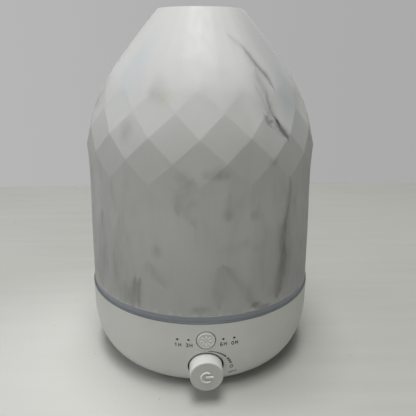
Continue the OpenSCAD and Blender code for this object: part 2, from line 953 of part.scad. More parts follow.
// Centres of the plugs on the main board
plug_w = 6;
plug_l = 10;
signal_plug_l = 15;
fan_plug = [main_x0 + plug_w / 2 + 1, -6];
disc_plug = [main_x0 + 16, 6];
power_plug = [main_x0 + 22, main_y0 + main_y - plug_w / 2 - 1];
signal_plug = [main_x0 + 22, main_y0 + plug_w / 2 + 0.5];
lamp_plug = [main_x0 + main_x - plug_w / 2 - 1, -2];

module plug(centre, size_x, size_y) {
    translate([centre[0] - size_x / 2, centre[1] - size_y / 2, main_top])
        cube([size_x, size_y, plug_h]);
}

module board_plugs() {
    color(cream_plug) {
        plug(fan_plug, plug_w, plug_l);
        plug(disc_plug, plug_l, plug_w);
        plug(power_plug, plug_l, plug_w);
        plug(signal_plug, signal_plug_l, plug_w);
        plug(lamp_plug, plug_w, plug_l);
    }
}

// ---- Control board ----

module control_board() {
    color(board_green)
        difference() {
            block([-control_w / 2, -board_y, control_z],
                [control_w / 2, -board_y + board_t, control_z + control_h]);
            for (x = [-1, 1])
                front(x * control_screw_x, control_screw_z)
                    rod(hole_r, board_y - board_t - eps, board_y + eps);
        }
}

module control_screws() {
    color(steel)
        for (x = [-1, 1])
            front(x * control_screw_x, control_screw_z) {
                rod(head_r, board_y - board_t - screw_head_h, board_y - board_t);
                rod(screw_d / 2, board_y - board_t - eps, board_y + 7);
            }
}

// Plug on the back of the control board
panel_plug_at = [4, control_z + 4];
panel_plug_t = 6;

module panel_plug() {
    back_y = -board_y + board_t;
    color(cream_plug)
        block([panel_plug_at[0], back_y, panel_plug_at[1]],
            [panel_plug_at[0] + signal_plug_l, back_y + panel_plug_t, panel_plug_at[1] + plug_w]);
}

module timer_lamps() {
    color([0.9, 0.9, 0.8])
        for (x = [-lamp_x2, -lamp_x1, lamp_x1, lamp_x2])
            block([x - 1.6, -board_y - led_t, button_z - 0.8], [x + 1.6, -board_y, button_z + 0.8]);
}

module light_pipes() {
    color([0.08, 0.08, 0.09])
        difference() {
            union() {
                block([-lamp_x2 - 2, -bar_y - bar_t, button_z - bar_h / 2],
                    [lamp_x2 + 2, -bar_y, button_z + bar_h / 2]);
                for (x = [-lamp_x2, -lamp_x1, lamp_x1, lamp_x2])
                    front(x, button_z)
                        rod(pipe_r, board_y + led_t + 0.3,
                            wall_y(base_r, x) - lamp_recess);
            }
            front(0, button_z)
                rod(stem_d / 2 + 0.7, board_y, base_r);
        }
}

// ---- Button ----

module switch_body() {
    color(black_plastic)
        difference() {
            block([-switch_side / 2, -switch_face, button_z - switch_side / 2],
                [switch_side / 2, -board_y, button_z + switch_side / 2]);
            front(0, button_z)
                rod(plunger_r + run_gap, board_y + 0.6, switch_face + 1);
        }
}

module switch_plunger() {
    color(black_plastic)
        front(0, button_z)
            rod(plunger_r, switch_face - 0.6, switch_face + plunger_out);
}

// Raised rim and eight petals on the cap's face
module button_relief() {
    petal_in = 0.26 * cap_r;
    petal_out = 0.48 * cap_r;
    translate([0, 0, cap_face - eps]) {
        difference() {
            cylinder(r = cap_r - 0.2, h = relief_h + eps);
            translate([0, 0, -eps])
                cylinder(r = cap_r - 0.2 - rim_line, h = relief_h + 3 * eps);
        }
        for (i = [0 : 7])
            rotate([0, 0, 45 * i + 22.5])
                linear_extrude(relief_h + eps)
                    union() {
                        polygon([[petal_in, -petal_w / 4], [petal_out, -petal_w / 2],
                            [petal_out, petal_w / 2], [petal_in, petal_w / 4]]);
                        translate([petal_out, 0])
                            circle(d = petal_w);
                    }
    }
}

module timer_button() {
    color(white_plastic) {
        front(0, button_z) {
            rod(cap_r, cap_back, cap_face);
            button_relief();
        }
        block([-ear_span / 2, -ear_face, button_z - ear_h / 2],
            [ear_span / 2, -ear_face + ear_t, button_z + ear_h / 2]);
        front(0, button_z)
            rod(stem_d / 2, switch_face + plunger_out, cap_back + eps);
    }
}

// ---- Mist control and knob ----

module mist_control() {
    color(steel)
        front(0, knob_z)
            difference() {
                union() {
                    rod(pot_d / 2, board_y, well_floor);
                    rod(neck_d / 2, well_floor - eps, neck_end);
                }
                rod(shaft_d / 2 + run_gap, board_y + 2, neck_end + eps);
            }
}

module control_nut() {
    color(steel)
        front(0, knob_z)
            translate([0, 0, well_floor + well_floor_t])
                difference() {
                    cylinder(d = nut_af / cos(30), h = nut_t, $fn = 6);
                    translate([0, 0, -eps])
                        cylinder(r = neck_d / 2 + run_gap, h = nut_t + 2 * eps);
                }
}

module control_shaft() {
    color(aluminium)
        front(0, knob_z)
            difference() {
                rod(shaft_d / 2, board_y + 2.2, shaft_end);
                block([flat_x, -shaft_d, neck_end + 1], [shaft_d, shaft_d, shaft_end + 1]);
            }
}

// Raised mark: three quarters of a ring with a thicker bar through its gap
module knob_mark(height) {
    ring = mark_d / 2;
    reach = ring + mark_line;
    bar = 1.7 * mark_line;
    linear_extrude(height)
        union() {
            difference() {
                circle(r = ring + mark_line / 2);
                circle(r = ring - mark_line / 2);
                polygon([[0, 0], [reach, 1.25 * reach], [reach, -reach]]);
            }
            translate([-0.15 * ring, -0.2 * bar])
                square([1.35 * ring, bar]);
        }
}

module knob() {
    open_r = knob_r + knob_taper;
    back_z = knob_face - knob_face_t;
    color(white_plastic)
        front(0, knob_z) {
            rotate_extrude()
                polygon(concat(
                    [[open_r - knob_wall, knob_end], [open_r, knob_end]],
                    [for (a = [0 : 15 : 90])
                        [knob_r - knob_round * (1 - cos(a)), knob_face - knob_round * (1 - sin(a))]],
                    [[0, knob_face], [0, shaft_end + run_gap],
                        [shaft_d / 2 + run_gap, shaft_end + run_gap],
                        [shaft_d / 2 + run_gap, hub_end], [knob_hub_r, hub_end],
                        [knob_hub_r, back_z], [knob_r - knob_wall, back_z]]));
            // Flat inside the hub that grips the shaft
            intersection() {
                rod(knob_hub_r - 0.5, hub_end, back_z);
                block([flat_x + run_gap, -shaft_d, hub_end], [shaft_d, shaft_d, back_z]);
            }
            translate([0, 0, knob_face - eps])
                knob_mark(mark_h + eps);
        }
}

// ---- Power inlet ----

module dc_inlet() {
    color(black_plastic)
        back(0, inlet_z)
            difference() {
                union() {
                    rod(barrel_d / 2, inlet_end, inlet_mouth);
                    rod(recess_d / 2 - 1.2, inlet_seat, inlet_mouth);
                }
                rod(inlet_d / 2, inlet_mouth - inlet_l, inlet_mouth + eps);
                rod(socket_r, inlet_mouth - inlet_l - socket_l, inlet_mouth);
                rod(1.1, inlet_end + 0.5, inlet_mouth);
            }
}

module inlet_pin() {
    color(steel)
        back(0, inlet_z)
            rod(1.05, inlet_end + 0.6, inlet_mouth - inlet_l - 0.2);
}

module inlet_nut() {
    color(steel)
        back(0, inlet_z)
            translate([0, 0, inlet_seat - inlet_pad - 2.2])
                difference() {
                    cylinder(d = (barrel_d + 3) / cos(30), h = 2.2, $fn = 6);
                    translate([0, 0, -eps])
                        cylinder(r = barrel_d / 2 + run_gap, h = 2.2 + 2 * eps);
                }
}

// ---- Wires ----

function curve_point(a, b, c, d, t) =
    (2 * b + (c - a) * t + (2 * a - 5 * b + 4 * c - d) * t * t
        + (3 * b - a - 3 * c + d) * t * t * t) / 2;
function smooth_route(p, n) =
    let (last = len(p) - 1)
    concat([for (i = [0 : last - 1], k = [0 : n - 1])
        curve_point(p[max(i - 1, 0)], p[i], p[i + 1], p[min(i + 2, last)], k / n)], [p[last]]);
function heading(p, i) =
    let (v = p[min(i + 1, len(p) - 1)] - p[max(i - 1, 0)])
    v / norm(v);
function carried(u, t) =
    let (v = u - (u * t) * t)
    v / norm(v);
function frames(p, i, u) =
    i == len(p) ? [] :
    let (t = heading(p, i), w = carried(u, t))
    concat([[w, cross(t, w)]], frames(p, i + 1, w));

// Round wire swept along a smooth route
module wire(points, r, shift = [0, 0, 0]) {
    sides = 8;
    path = smooth_route([for (p = points) p + shift], 3);
    turn = frames(path, 0, [0.36, 0.48, 0.8]);
    last = len(path) - 1;
    rings = [for (i = [0 : last], k = [0 : sides - 1])
        path[i] + r * (cos(k * 360 / sides) * turn[i][0] + sin(k * 360 / sides) * turn[i][1])];
    walls = [for (i = [0 : last - 1], k = [0 : sides - 1])
        let (a = i * sides + k, b = i * sides + (k + 1) % sides)
        each [[a, a + sides, b], [b, a + sides, b + sides]]];
    ends = [[for (k = [0 : sides - 1]) k], [for (k = [sides - 1 : -1 : 0]) last * sides + k]];
    polyhedron(rings, concat(walls, ends));
}

wire_r = 0.65;
wire_pitch = 2.5;
inlet_pitch = 4;
wire_end_gap = 0.15;
// Ends of the first wire of each group, at its plug on the main board
power_end = [power_plug[0] - inlet_pitch / 2, power_plug[1]];
fan_end = [fan_plug[0], fan_plug[1] - wire_pitch / 2];
disc_end = [disc_plug[0] - wire_pitch / 2, disc_plug[1]];
signal_end = [signal_plug[0] - 1.5 * wire_pitch, signal_plug[1]];
panel_end = [
    panel_plug_at[0] + (signal_plug_l - 3 * wire_pitch) / 2,
    -board_y + board_t + panel_plug_t + wire_end_gap,
    panel_plug_at[1] + plug_w / 2];
ring_end = lamp_r * [cos(wire_angle), sin(wire_angle)];
fan_side_x = fan_side / 2 - fan_x;
disc_wire_x = disc_x - wire_pitch / 2;
pin_z = plug_top + wire_end_gap;
low_z = plug_top + 6;
high_z = plug_top + 10;

// Point over a place on the board
function over(place, z) = [place[0], place[1], z];

power_route = [
    [-inlet_pitch / 2, inlet_end - wire_end_gap, inlet_z],
    [-inlet_pitch / 2, inlet_end - 12, inlet_z],
    [4, 48, inlet_z + 3],
    [14, 36, high_z],
    over(power_end, low_z),
    over(power_end, pin_z)];
fan_route = [
    [fan_side_x + wire_end_gap, fan_end[1], fan_z + fan_t / 2],
    [fan_side_x + 4, fan_end[1], fan_z + fan_t / 2],
    over(fan_end - [5, 0], plug_top + 5),
    over(fan_end, plug_top + 5),
    over(fan_end, pin_z)];
disc_route = [
    [disc_wire_x, 0, disc_z - wire_end_gap],
    [disc_wire_x, 0, clamp_z - 5],
    [14, 3, 36],
    over(disc_end, low_z + 2),
    over(disc_end, pin_z)];
panel_route = [
    panel_end,
    panel_end + [0, 5, 0],
    [11, -42, low_z],
    over(signal_end - [0, 4.5], high_z - 1),
    over(signal_end, low_z),
    over(signal_end, pin_z)];
light_route = [
    over(lamp_plug - [0, 1.2], pin_z),
    over(lamp_plug - [0, 1.2], low_z),
    over((inner_r - 36) * [cos(9), sin(9)], low_z + 6),
    over((inner_r - 22) * [cos(29), sin(29)], seat_z - 17),
    over((inner_r - 10) * [cos(40), sin(40)], seat_z - 11),
    over(ring_end, seat_z - 3),
    over(ring_end, lamp_board_z - wire_end_gap)];

module power_wires() {
    color("firebrick")
        for (x = [0, inlet_pitch])
            wire(power_route, wire_r, [x, 0, 0]);
}

module fan_wires() {
    color("dimgray")
        for (y = [0, wire_pitch])
            wire(fan_route, wire_r, [0, y, 0]);
}

module disc_wires() {
    color("royalblue")
        for (x = [0, wire_pitch])
            wire(disc_route, wire_r, [x, 0, 0]);
}

module panel_wires() {
    color("whitesmoke")
        for (x = [0 : wire_pitch : 3 * wire_pitch])
            wire(panel_route, wire_r, [x, 0, 0]);
}

module light_wires() {
    color("goldenrod")
        for (side = [-1, 1])
            wire(light_route, wire_r, [side, -side, 0] * 0.9);
}

// ---- Lid and chimney ----

module tank_lid() {
    shoulder_r = tank_r - tank_wall;
    shoulder_z = lid_z + lid_wall;
    neck_z = shoulder_z + lid_rise;
    color(tank_plastic)
        rotate_extrude()
            polygon([[skirt_r - lid_wall, tank_top - lid_skirt], [skirt_r, tank_top - lid_skirt],
                [skirt_r, lid_z], [lid_r, lid_z], [lid_r, shoulder_z], [shoulder_r, shoulder_z],
                [chimney_r, neck_z], [chimney_r, chimney_top],
                [chimney_r - lid_wall, chimney_top], [chimney_r - lid_wall, neck_z - lid_wall / 2],
                [skirt_r - lid_wall, lid_z]]);
}

module lid_seal() {
    color(silicone)
        tube(tank_r, skirt_r + run_gap, tank_top, lid_z);
}

module mist_nozzle() {
    sleeve_r = chimney_r + run_gap;
    outer_r = sleeve_r + 1.6;
    outlet_r = nozzle_d / 2;
    color(white_plastic)
        rotate_extrude()
            polygon([[sleeve_r, chimney_top - nozzle_sleeve], [outer_r, chimney_top - nozzle_sleeve],
                [outer_r, chimney_top + 1], [outlet_r + 1.6, chimney_top + nozzle_cone],
                [outlet_r, chimney_top + nozzle_cone - 0.8],
                [chimney_r - lid_wall, chimney_top], [sleeve_r, chimney_top]]);
}

// ---- Faceted cover ----

// Radii of the rows of corners: each diamond between four corners stays flat
function corner_r(row) =
    row == 0 ? waist_r :
    row == 1 ? crown_r :
    2 * cos(180 / facet_count) * corner_r(row - 1) - corner_r(row - 2);

// Points around each ring: the corners, and the middles between them
points = 2 * facet_count;
flat_z = cover_z + facet_z;
cone_z = flat_z + facet_rows * facet_h;
cone_r = corner_r(facet_rows) + cone_out;

// Rings of the outside from the lower edge to the mouth: height, radius at the corners,
// how much of the facet shape is left, and which of the points are corners
cover_rings = concat(
    [[cover_z, cover_r, 0, 0],
        [flat_z - facet_fade, (cover_r + waist_r * 3) / 4, 0, 0],
        [flat_z - facet_fade / 2, (cover_r + waist_r * 7) / 8, 0.25, 0]],
    [for (row = [0 : facet_rows])
        [flat_z + row * facet_h, row == facet_rows ? cone_r : corner_r(row),
            row == 0 ? 0.6 : 1, row % 2]],
    [for (t = [1 / 4, 1 / 2, 1])
        [cone_z + t * (cover_top - cone_z), cone_r + t * (mouth_r - cone_r),
            t == 1 / 4 ? 0.3 : 0, facet_rows % 2]]);

// Point k of a ring, moved in by the wall; between two corners the side is straight
function ring_point(ring, k, inset) =
    let (corner = (k + ring[3]) % 2 == 0,
        r = (ring[1] - inset) * (corner ? 1 : 1 - ring[2] * (1 - cos(180 / facet_count))),
        a = -90 + cover_turn + k * 360 / points)
    [r * cos(a), r * sin(a), ring[0]];

// Horizontal thickness of a wall that leans in by the slope between two rings
function lean_inset(low, high) =
    cover_wall * norm([high[1] - low[1], high[0] - low[0]]) / (high[0] - low[0]);

module cover() {
    n = len(cover_rings);
    outside = [for (i = [0 : n - 1], k = [0 : points - 1]) ring_point(cover_rings[i], k, 0)];
    inside = [for (i = [n - 1 : -1 : 0], k = [0 : points - 1])
        ring_point(cover_rings[i], k,
            lean_inset(cover_rings[max(i - 1, 0)], cover_rings[max(i, 1)]))];
    total = 2 * n;
    faces = [for (i = [0 : total - 1], k = [0 : points - 1])
        let (j = (i + 1) % total,
            a = i * points + k,
            b = i * points + (k + 1) % points,
            c = j * points + k,
            d = j * points + (k + 1) % points,
            ring = i < n ? i : total - 1 - i,
            corner = (k + cover_rings[ring][3]) % 2 == 0)
        each corner ? [[a, c, d], [a, d, b]] : [[a, c, b], [b, c, d]]];
    color(marble_white)
        polyhedron(concat(outside, inside), faces);
}

base_shell();
bottom_cover();
foot_ring();
housing_screws();
light_ring();
ring_seal();
lamp_board();
ring_lights();
water_tank();
tank_screws();
mist_disc();
disc_seal();
disc_clamp();
clamp_screws();
fan_frame();
fan_motor();
fan_shaft();
fan_rotor();
fan_screws();
fan_duct();
duct_gasket();
air_filter();
main_board();
main_board_screws();
heat_sink();
power_transistor();
drive_coil();
capacitors();
control_chip();
board_plugs();
control_board();
control_screws();
panel_plug();
timer_lamps();
light_pipes();
switch_body();
switch_plunger();
timer_button();
mist_control();
control_nut();
control_shaft();
knob();
dc_inlet();
inlet_pin();
inlet_nut();
power_wires();
fan_wires();
disc_wires();
panel_wires();
light_wires();
tank_lid();
lid_seal();
mist_nozzle();
cover();
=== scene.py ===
import math

import bmesh
import bpy
from mathutils import Matrix, Vector


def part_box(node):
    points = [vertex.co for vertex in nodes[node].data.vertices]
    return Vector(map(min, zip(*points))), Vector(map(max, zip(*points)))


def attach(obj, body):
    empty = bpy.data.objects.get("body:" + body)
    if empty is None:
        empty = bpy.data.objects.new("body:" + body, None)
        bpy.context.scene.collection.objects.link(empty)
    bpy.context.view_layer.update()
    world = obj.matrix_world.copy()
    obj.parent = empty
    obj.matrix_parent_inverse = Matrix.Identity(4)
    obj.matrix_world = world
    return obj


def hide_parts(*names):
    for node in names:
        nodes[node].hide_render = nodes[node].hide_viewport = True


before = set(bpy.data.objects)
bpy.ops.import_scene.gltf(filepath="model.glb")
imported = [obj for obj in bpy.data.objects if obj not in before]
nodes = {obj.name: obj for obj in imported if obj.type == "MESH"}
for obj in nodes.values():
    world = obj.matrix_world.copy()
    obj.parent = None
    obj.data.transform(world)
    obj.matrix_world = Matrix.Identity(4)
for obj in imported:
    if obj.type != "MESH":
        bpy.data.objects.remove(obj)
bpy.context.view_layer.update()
MM = 0.001


# ---- Camera ----
# A camera with a lens of about 42 mm on a sensor 36 mm wide. It stands close in front of the
# control panel, a little to the left, and looks down on it.

camera = bpy.data.objects.new("camera", bpy.data.cameras.new("camera"))
camera.data.sensor_width = 36
camera.data.lens = 41.85
camera.data.clip_start = 0.01
camera.location = Vector((-17.0, -381.1, 244.5)) * MM
camera.rotation_euler = [math.radians(angle) for angle in (71.26, -0.32, -3.39)]
bpy.context.scene.collection.objects.link(camera)
bpy.context.scene.camera = camera
bpy.context.scene.view_settings.view_transform = "Standard"


# ---- Studio ----
# A pale table that ends at a light grey wall, two broad soft lamps high up and two weak ones low
# down. The wall is only the background colour, so it throws no light of its own.

table_front = -1.4
table_back = 0.47
table_half = 1.6
# Middle of a pool of light that is painted on the table
painted_light_spot = (-0.105, -0.045, 0.0)


def join(tree, node, sockets):
    """Sets or links input sockets of a shader node."""
    for key, value in sockets.items():
        if isinstance(value, bpy.types.NodeSocket):
            tree.links.new(value, node.inputs[key])
        else:
            node.inputs[key].default_value = value
    return node


def add(tree, kind, sockets=None, **settings):
    """Adds a shader node with its settings and its input sockets."""
    made = tree.nodes.new("ShaderNode" + kind)
    for name, value in settings.items():
        setattr(made, name, value)
    return join(tree, made, sockets or {})


def reckon(tree, operation, *values):
    """Output of a Math node."""
    return add(tree, "Math", dict(enumerate(values)), operation=operation).outputs[0]


def blend_colours(tree, factor, first, second):
    """Colour output of a Mix node. Its colours are sockets, or plain ones that are made opaque."""
    sockets = {0: factor, 6: first, 7: second}
    for key in (6, 7):
        if not isinstance(sockets[key], bpy.types.NodeSocket):
            sockets[key] = (*sockets[key], 1)
    return add(tree, "Mix", sockets, data_type="RGBA").outputs[2]


def product(tree, *factors):
    """Factors multiplied by one another."""
    total = factors[0]
    for factor in factors[1:]:
        total = reckon(tree, "MULTIPLY", total, factor)
    return total


def spread(tree, value, low, high, to_low=0.0, to_high=1.0):
    """Map Range output: low..high becomes to_low..to_high, held at the ends."""
    sockets = {0: value, 1: low, 2: high, 3: to_low, 4: to_high}
    return add(tree, "MapRange", sockets, interpolation_type="SMOOTHSTEP").outputs[0]


def own_place(tree):
    """Coordinates on the piece, in metres."""
    return add(tree, "TexCoord").outputs["Object"]


def stretched(tree, place, scales):
    """Coordinates multiplied along each axis."""
    return add(tree, "VectorMath", {0: place, 1: scales}, operation="MULTIPLY").outputs[0]


def noise(tree, place, scale, detail, roughness=0.5, distortion=0.0):
    """Value of a Noise Texture."""
    sockets = {"Vector": place, "Scale": scale, "Detail": detail, "Roughness": roughness,
               "Distortion": distortion}
    return add(tree, "TexNoise", sockets).outputs[0]


def new_material(name):
    """Empty material: its node tree and its Principled shader, joined to the output."""
    material = bpy.data.materials.new(name)
    material.use_nodes = True
    tree = material.node_tree
    tree.nodes.clear()
    shader = add(tree, "BsdfPrincipled")
    add(tree, "OutputMaterial", {"Surface": shader.outputs[0]})
    return material, tree, shader


def table_finish():
    """Pale laminate with faint brush lines and dark specks, and a painted pool of light at the
    front left.
    """
    material, tree, shader = new_material("table_laminate")
    place = own_place(tree)
    brushed = noise(tree, stretched(tree, place, (5.0, 60.0, 1.0)), 1.0, 4.0, 0.6)
    drift = reckon(tree, "MULTIPLY_ADD", noise(tree, place, 3.0, 4.0), 0.8, -0.35)
    drift = reckon(tree, "MULTIPLY_ADD", brushed, 0.9, drift)
    plain = blend_colours(tree, drift, (0.468, 0.468, 0.442), (0.56, 0.56, 0.531))
    # Painted light: the table is coloured paler round a spot at its front left
    from_spot = add(tree, "VectorMath", {0: place, 1: painted_light_spot},
                    operation="DISTANCE").outputs["Value"]
    plain = blend_colours(tree, spread(tree, from_spot, 0.02, 0.20, 0.36, 0.0), plain,
                          (0.91, 0.91, 0.882))
    specks = spread(tree, noise(tree, place, 160.0, 2.0), 0.70, 0.78, 0.0, 0.5)
    colour = blend_colours(tree, specks, plain, (0.40, 0.39, 0.355))
    join(tree, shader, {"Base Color": colour, "Roughness": 0.5, "Specular IOR Level": 0.3})
    return material


def link_mesh(name, mesh, material, smooth=True, sharp_angle=None):
    """Object made from a finished bmesh; edges over the sharp angle, in degrees, stay crisp."""
    data = bpy.data.meshes.new(name)
    bmesh.ops.recalc_face_normals(mesh, faces=mesh.faces)
    mesh.to_mesh(data)
    mesh.free()
    data.materials.append(material)
    for face in data.polygons:
        face.use_smooth = smooth
    if sharp_angle:
        data.set_sharp_from_angle(angle=math.radians(sharp_angle))
    made = bpy.data.objects.new(name, data)
    bpy.context.scene.collection.objects.link(made)
    return made


def table_top():
    """Flat top that reaches from behind the camera to the wall."""
    mesh = bmesh.new()
    corners = [(-table_half, table_front), (table_half, table_front),
               (table_half, table_back), (-table_half, table_back)]
    mesh.faces.new([mesh.verts.new((x, y, 0)) for x, y in corners])
    return link_mesh("table", mesh, table_finish(), smooth=False)


table_top()


def soft_lamp(name, place, target, size, power, colour):
    """Round lamp with a soft front, turned towards its target."""
    lamp = bpy.data.lights.new(name, "AREA")
    lamp.shape = "DISK"
    lamp.size = size
    lamp.energy = power
    lamp.color = colour
    holder = bpy.data.objects.new(name, lamp)
    holder.location = place
    holder.rotation_euler = (Vector(target) - Vector(place)).to_track_quat("-Z", "Y").to_euler()
    bpy.context.scene.collection.objects.link(holder)


body_middle = (0, 0, 0.13)
soft_lamp("overhead_lamp", (-0.06, 0.10, 2.40), body_middle, 1.0, 28.0, (1.0, 1.0, 0.985))
soft_lamp("front_lamp", (-0.08, -0.72, 2.26), body_middle, 1.0, 20.0, (1.0, 1.0, 0.985))
soft_lamp("left_lamp", (-1.20, 0.0, 0.60), body_middle, 0.7, 2.6, (0.91, 0.955, 1.0))
soft_lamp("low_lamp", (-0.28, -1.38, 0.26), (0, 0, 0.04), 0.6, 2.3, (1.0, 1.0, 0.99))


def studio_air():
    """Background: a plain wall where it is seen or mirrored, and a dim even light elsewhere."""
    world = bpy.data.worlds.new("studio")
    world.use_nodes = True
    tree = world.node_tree
    tree.nodes.clear()
    rays = add(tree, "LightPath").outputs
    seen = reckon(tree, "MAXIMUM", rays["Is Camera Ray"], rays["Is Transmission Ray"])
    seen = reckon(tree, "MAXIMUM", seen, rays["Is Glossy Ray"])
    even_light = add(tree, "Background", {"Color": (0.06, 0.061, 0.06, 1), "Strength": 1.0})
    towards = add(tree, "SeparateXYZ", {0: add(tree, "TexCoord").outputs["Generated"]}).outputs
    grey = blend_colours(tree, spread(tree, towards[0], -0.45, 0.45), (0.470, 0.470, 0.470),
                         (0.405, 0.405, 0.405))
    wall = add(tree, "Background", {"Color": grey, "Strength": 1.0})
    both = add(tree, "MixShader", {0: seen, 1: even_light.outputs[0], 2: wall.outputs[0]})
    add(tree, "OutputWorld", {"Surface": both.outputs[0]})
    bpy.context.scene.world = world


studio_air()


# ---- Base housing ----
# One injection moulding of satin white plastic, shaped like a bowl. The mould leaves a very
# fine grain and a faint drift in tone. The bottom cover is the same plastic, a little duller.

def start_group(name, inputs, outputs):
    """Shader node group with named sockets: its tree, the sockets it is given, and the node
    that takes its results."""
    tree = bpy.data.node_groups.new(name, "ShaderNodeTree")
    for socket, kind, value in inputs:
        made = tree.interface.new_socket(socket, in_out="INPUT", socket_type="NodeSocket" + kind)
        made.default_value = value
    for socket, kind in outputs:
        tree.interface.new_socket(socket, in_out="OUTPUT", socket_type="NodeSocket" + kind)
    return tree, tree.nodes.new("NodeGroupInput").outputs, tree.nodes.new("NodeGroupOutput")


def moulded_grain_group():
    """Fine grain and slow drift that the mould leaves on plastic."""
    tree, given, result = start_group(
        "moulded_grain",
        [("Grain Scale", "Float", 2200.0), ("Drift Scale", "Float", 26.0)],
        [("Height", "Float"), ("Tone", "Float"), ("Sheen", "Float")])
    place = own_place(tree)
    grain = noise(tree, place, given["Grain Scale"], 2.0)
    drift = noise(tree, place, given["Drift Scale"], 3.0)
    join(tree, result, {"Height": reckon(tree, "MULTIPLY_ADD", drift, 0.8, grain),
                        "Tone": spread(tree, drift, 0.3, 0.7),
                        "Sheen": spread(tree, noise(tree, place, 140.0, 4.0), 0.3, 0.7)})
    return tree


moulded_grain = moulded_grain_group()


def dress(tree, shader, colour, roughness, height, depth, strength=0.5):
    """Colour, roughness and fine relief of a finish. The relief's depth is in millimetres."""
    relief = add(tree, "Bump", {"Height": height, "Distance": depth * MM, "Strength": strength})
    join(tree, shader, {"Base Color": colour, "Roughness": roughness,
                        "Normal": relief.outputs[0]})


def moulded_plastic(name, colour, shade, roughness, grain_scale=2200.0, grain_depth=0.03):
    """Plastic from a mould: colour and shade are its light and dark tones."""
    material, tree, shader = new_material(name)
    grain = add(tree, "Group", {"Grain Scale": grain_scale}, node_tree=moulded_grain).outputs
    dress(tree, shader, blend_colours(tree, grain["Tone"], shade, colour),
          spread(tree, grain["Sheen"], 0.0, 1.0, roughness - 0.05, roughness + 0.06),
          grain["Height"], grain_depth, 0.6)
    return material


def finish_nodes(material, *names):
    """Gives CAD pieces their material."""
    for name in names:
        for holder in nodes[name].material_slots:
            holder.material = material


housing_white = moulded_plastic("housing_white", (0.615, 0.615, 0.586), (0.586, 0.586, 0.557),
                                0.42)
plate_white = moulded_plastic("plate_white", (0.66, 0.66, 0.63), (0.62, 0.62, 0.59), 0.55,
                              grain_scale=1400.0, grain_depth=0.06)
finish_nodes(plate_white, "bottom_cover")


def middle_of(node):
    """Middle of the box round a CAD piece."""
    low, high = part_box(node)
    return (Vector(low) + Vector(high)) / 2


def opened(material):
    """Tree and shader of a finished material, and the socket that colours it."""
    tree = material.node_tree
    shader = tree.nodes["Principled BSDF"]
    return tree, shader, shader.inputs["Base Color"].links[0].from_socket


well_reach = {"knob": 13.02 * MM, "timer_button": 7.07 * MM}
well_edge = 0.05 * MM
panel_back = -70 * MM


def shaded_wells(material):
    """Painted shade: the narrow wells round the knob and the timer button are coloured dark."""
    tree, shader, colour = opened(material)
    place = add(tree, "SeparateXYZ", {0: own_place(tree)}).outputs
    dark = 0.0
    for node, reach in well_reach.items():
        rise = reckon(tree, "SUBTRACT", place[2], middle_of(node)[2])
        away = reckon(tree, "SQRT", reckon(tree, "MULTIPLY_ADD", place[0], place[0],
                                           product(tree, rise, rise)))
        well = spread(tree, away, reach, reach + well_edge, 1.0, 0.0)
        dark = reckon(tree, "MAXIMUM", well, dark)
    front = spread(tree, place[1], panel_back, panel_back + 5 * MM, 1.0, 0.0)
    mask = product(tree, dark, front)
    join(tree, shader, {"Base Color": blend_colours(tree, mask, colour, (0.10, 0.10, 0.095))})


shaded_wells(housing_white)
finish_nodes(housing_white, "base_shell")


# ---- Foot ring and housing screws ----
# The ring is soft black rubber, glued under the bottom cover. Four zinc plated pan-head screws
# with a cross recess hold that cover to the housing.

def rubber_skin_group():
    """Matt skin of soft rubber, with dust that clings to it in patches."""
    tree, given, result = start_group("rubber_skin", [("Dust Scale", "Float", 60.0)],
                                      [("Height", "Float"), ("Dust", "Float"),
                                       ("Sheen", "Float")])
    place = own_place(tree)
    dust = noise(tree, place, given["Dust Scale"], 5.0)
    join(tree, result, {"Height": noise(tree, place, 900.0, 3.0),
                        "Dust": spread(tree, dust, 0.45, 0.75),
                        "Sheen": spread(tree, dust, 0.3, 0.7)})
    return tree


rubber_skin = rubber_skin_group()


def rubber(name, colour, roughness):
    """Soft rubber or silicone: the dust on it is paler than its colour."""
    material, tree, shader = new_material(name)
    skin = add(tree, "Group", node_tree=rubber_skin).outputs
    dusty = tuple(tone * 1.6 + 0.012 for tone in colour)
    dress(tree, shader, blend_colours(tree, skin["Dust"], colour, dusty),
          reckon(tree, "MULTIPLY_ADD", skin["Sheen"], 0.15, roughness), skin["Height"], 0.08)
    return material


black_rubber = rubber("black_rubber", (0.028, 0.028, 0.029), 0.62)
finish_nodes(black_rubber, "foot_ring", "disc_seal", "duct_gasket")


def drawn_lines_group():
    """Fine lines of drawn or plated metal, and a cloudy tarnish."""
    tree, given, result = start_group(
        "drawn_lines", [("Line Scale", "Vector", (300.0, 300.0, 2600.0))],
        [("Height", "Float"), ("Tarnish", "Float"), ("Sheen", "Float")])
    place = own_place(tree)
    lines = noise(tree, stretched(tree, place, given["Line Scale"]), 1.0, 2.0)
    join(tree, result, {"Height": lines,
                        "Tarnish": spread(tree, noise(tree, place, 240.0, 3.0), 0.35, 0.7),
                        "Sheen": spread(tree, lines, 0.3, 0.7)})
    return tree


drawn_lines = drawn_lines_group()


def worn_metal(name, colour, roughness):
    """Bare or plated metal with fine lines, a little darker where it is tarnished."""
    material, tree, shader = new_material(name)
    wear = add(tree, "Group", node_tree=drawn_lines).outputs
    darker = tuple(tone * 0.82 for tone in colour)
    dress(tree, shader, blend_colours(tree, wear["Tarnish"], colour, darker),
          reckon(tree, "MULTIPLY_ADD", wear["Sheen"], 0.16, roughness - 0.06),
          wear["Height"], 0.01)
    join(tree, shader, {"Metallic": 1.0})
    return material


zinc_plate = worn_metal("zinc_plate", (0.62, 0.62, 0.64), 0.34)
finish_nodes(zinc_plate, "tank_screws", "clamp_screws", "fan_screws", "main_board_screws",
             "control_screws", "control_nut", "inlet_nut", "fan_shaft", "inlet_pin", "disc_clamp")


